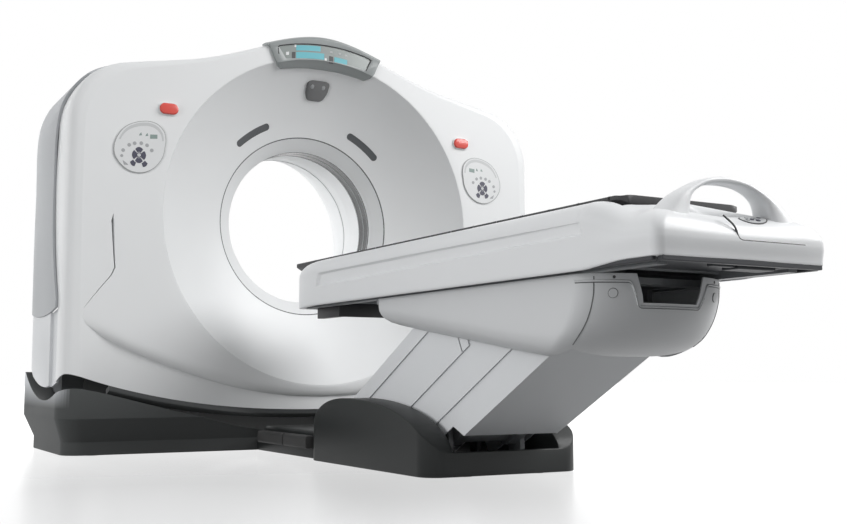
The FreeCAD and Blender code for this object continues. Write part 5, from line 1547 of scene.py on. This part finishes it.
rim_line = notch_rim()
wire("notch_rim", rim_line, 3.4, HOUSING_SHADED, "carriage")
wire("notch_line", [(x, y - 1.5, z - 4.2) for x, y, z in rim_line], 1.1, BAND, "carriage")
for side, name in SIDES:
    wire("end_seam_" + name, end_seam(side), 1.4, BAND, "carriage")
for side, name in SIDES:
    for kind, x, z, radius, thick, material in END_DISCS:
        disc_on_end(kind + name, side * x, z, radius, thick, material)
for side, name in SIDES:
    near, away = sorted((side * RUNNER[0], side * RUNNER[1]))
    add_block("rail_" + name, (near, away, *RUNNER[2:]), 1.5, MACHINED, "carriage")

# ---------------- legs

LINK_ANGLE = 28.0
LEG_OUTER = 193.0
LEG_SHEET = 4.0
LEG_PIVOT = (-3.9, 120.0)
# (along the leg, across it) from its lower pivot
STRIP_END = [(-765, -98), (-811, -98), (-811, 60), (-765, 84)]


def leg_strip_end():
    """Carries the second strip of the leg on into the housing."""
    cosine = math.cos(math.radians(-LINK_ANGLE))
    sine = math.sin(math.radians(-LINK_ANGLE))
    outline = [(LEG_PIVOT[0] + along * cosine - across * sine, LEG_PIVOT[1] + along * sine + across * cosine)
               for along, across in STRIP_END]
    sheet = (LEG_OUTER, LEG_OUTER - LEG_SHEET)
    return merge_forms(stack([[(side * x, y, z) for y, z in outline] for x in sheet]) for side, name in SIDES)


add_piece("leg_strip_end", leg_strip_end(), LEG, FLAT_SHARP, "leg_cover_2_body")

# ---------------- finishes

# width in millimetres of the rounding on the CAD pieces' edges
ROUNDING = {
    12: "table_base_cover",
    9: "gantry_base_cover",
    5: "floor_link stop_button_left stop_button_right",
    3: "side_cover_left side_cover_right lower_panel_left lower_panel_right",
    2.5: "pedal_raise pedal_lower",
    2: "display_bezel rear_cover head_bracket",
    1.5: "stop_collars",
}
FINISH = {
    WHITE: "front_cover front_funnel front_bore_ring rear_funnel rear_cover stop_collars",
    SILVER: "side_cover_right side_cover_left",
    LIGHT_PANEL: "lower_panel_right lower_panel_left",
    TABLE_WHITE: "upper_housing foot_cover",
    HOUSING_SHADED: "lower_housing lower_end_cap",
    GANTRY_BLACK: "gantry_base_cover",
    BLACK: "table_base_cover floor_link",
    DARK: "head_bracket brush_block collimator cradle_runners",
    CRADLE: "cradle",
    GREY: "display_bezel camera_module foot_keypad",
    RED: "stop_button_left stop_button_right",
    SCREEN: "display_screen",
    GRILLE: "funnel_grilles",
    PANEL: "control_panel_right control_panel_left",
    STEEL: "tilt_frame tilt_column_left tilt_column_right gantry_base_frame table_base_frame front_link "
           "rear_link carriage_frame bed_frame tilt_gearmotor lift_gearmotor cradle_motor",
    MACHINED: "bearing_outer bearing_inner drive_stator xray_tube",
    ALUMINIUM: "rotor_plate detector_arc hv_generator heat_exchanger",
    COPPER: "slip_ring",
    LEG: "leg_cover_1 leg_cover_2 leg_cover_3 leg_cover_4",
    RUBBER: "drive_roller pedal_raise pedal_lower",
    WINDOW: "scan_window",
}


def dress(item, width):
    """Merges a CAD mesh's facets and rounds its sharp edges."""
    weld = item.modifiers.new("weld", "WELD")
    weld.merge_threshold = MERGE
    plane = item.modifiers.new("plane", "DECIMATE")
    plane.decimate_type = "DISSOLVE"
    plane.angle_limit = math.radians(1.0)
    soften(item, width, 3, 38).miter_outer = "MITER_ARC"


for width, names in ROUNDING.items():
    for name in names.split():
        dress(nodes[name], width)

for material, names in FINISH.items():
    for name in names.split():
        nodes[name].data.materials.clear()
        nodes[name].data.materials.append(material)
        smooth(nodes[name].data, FLAT_SHARP)
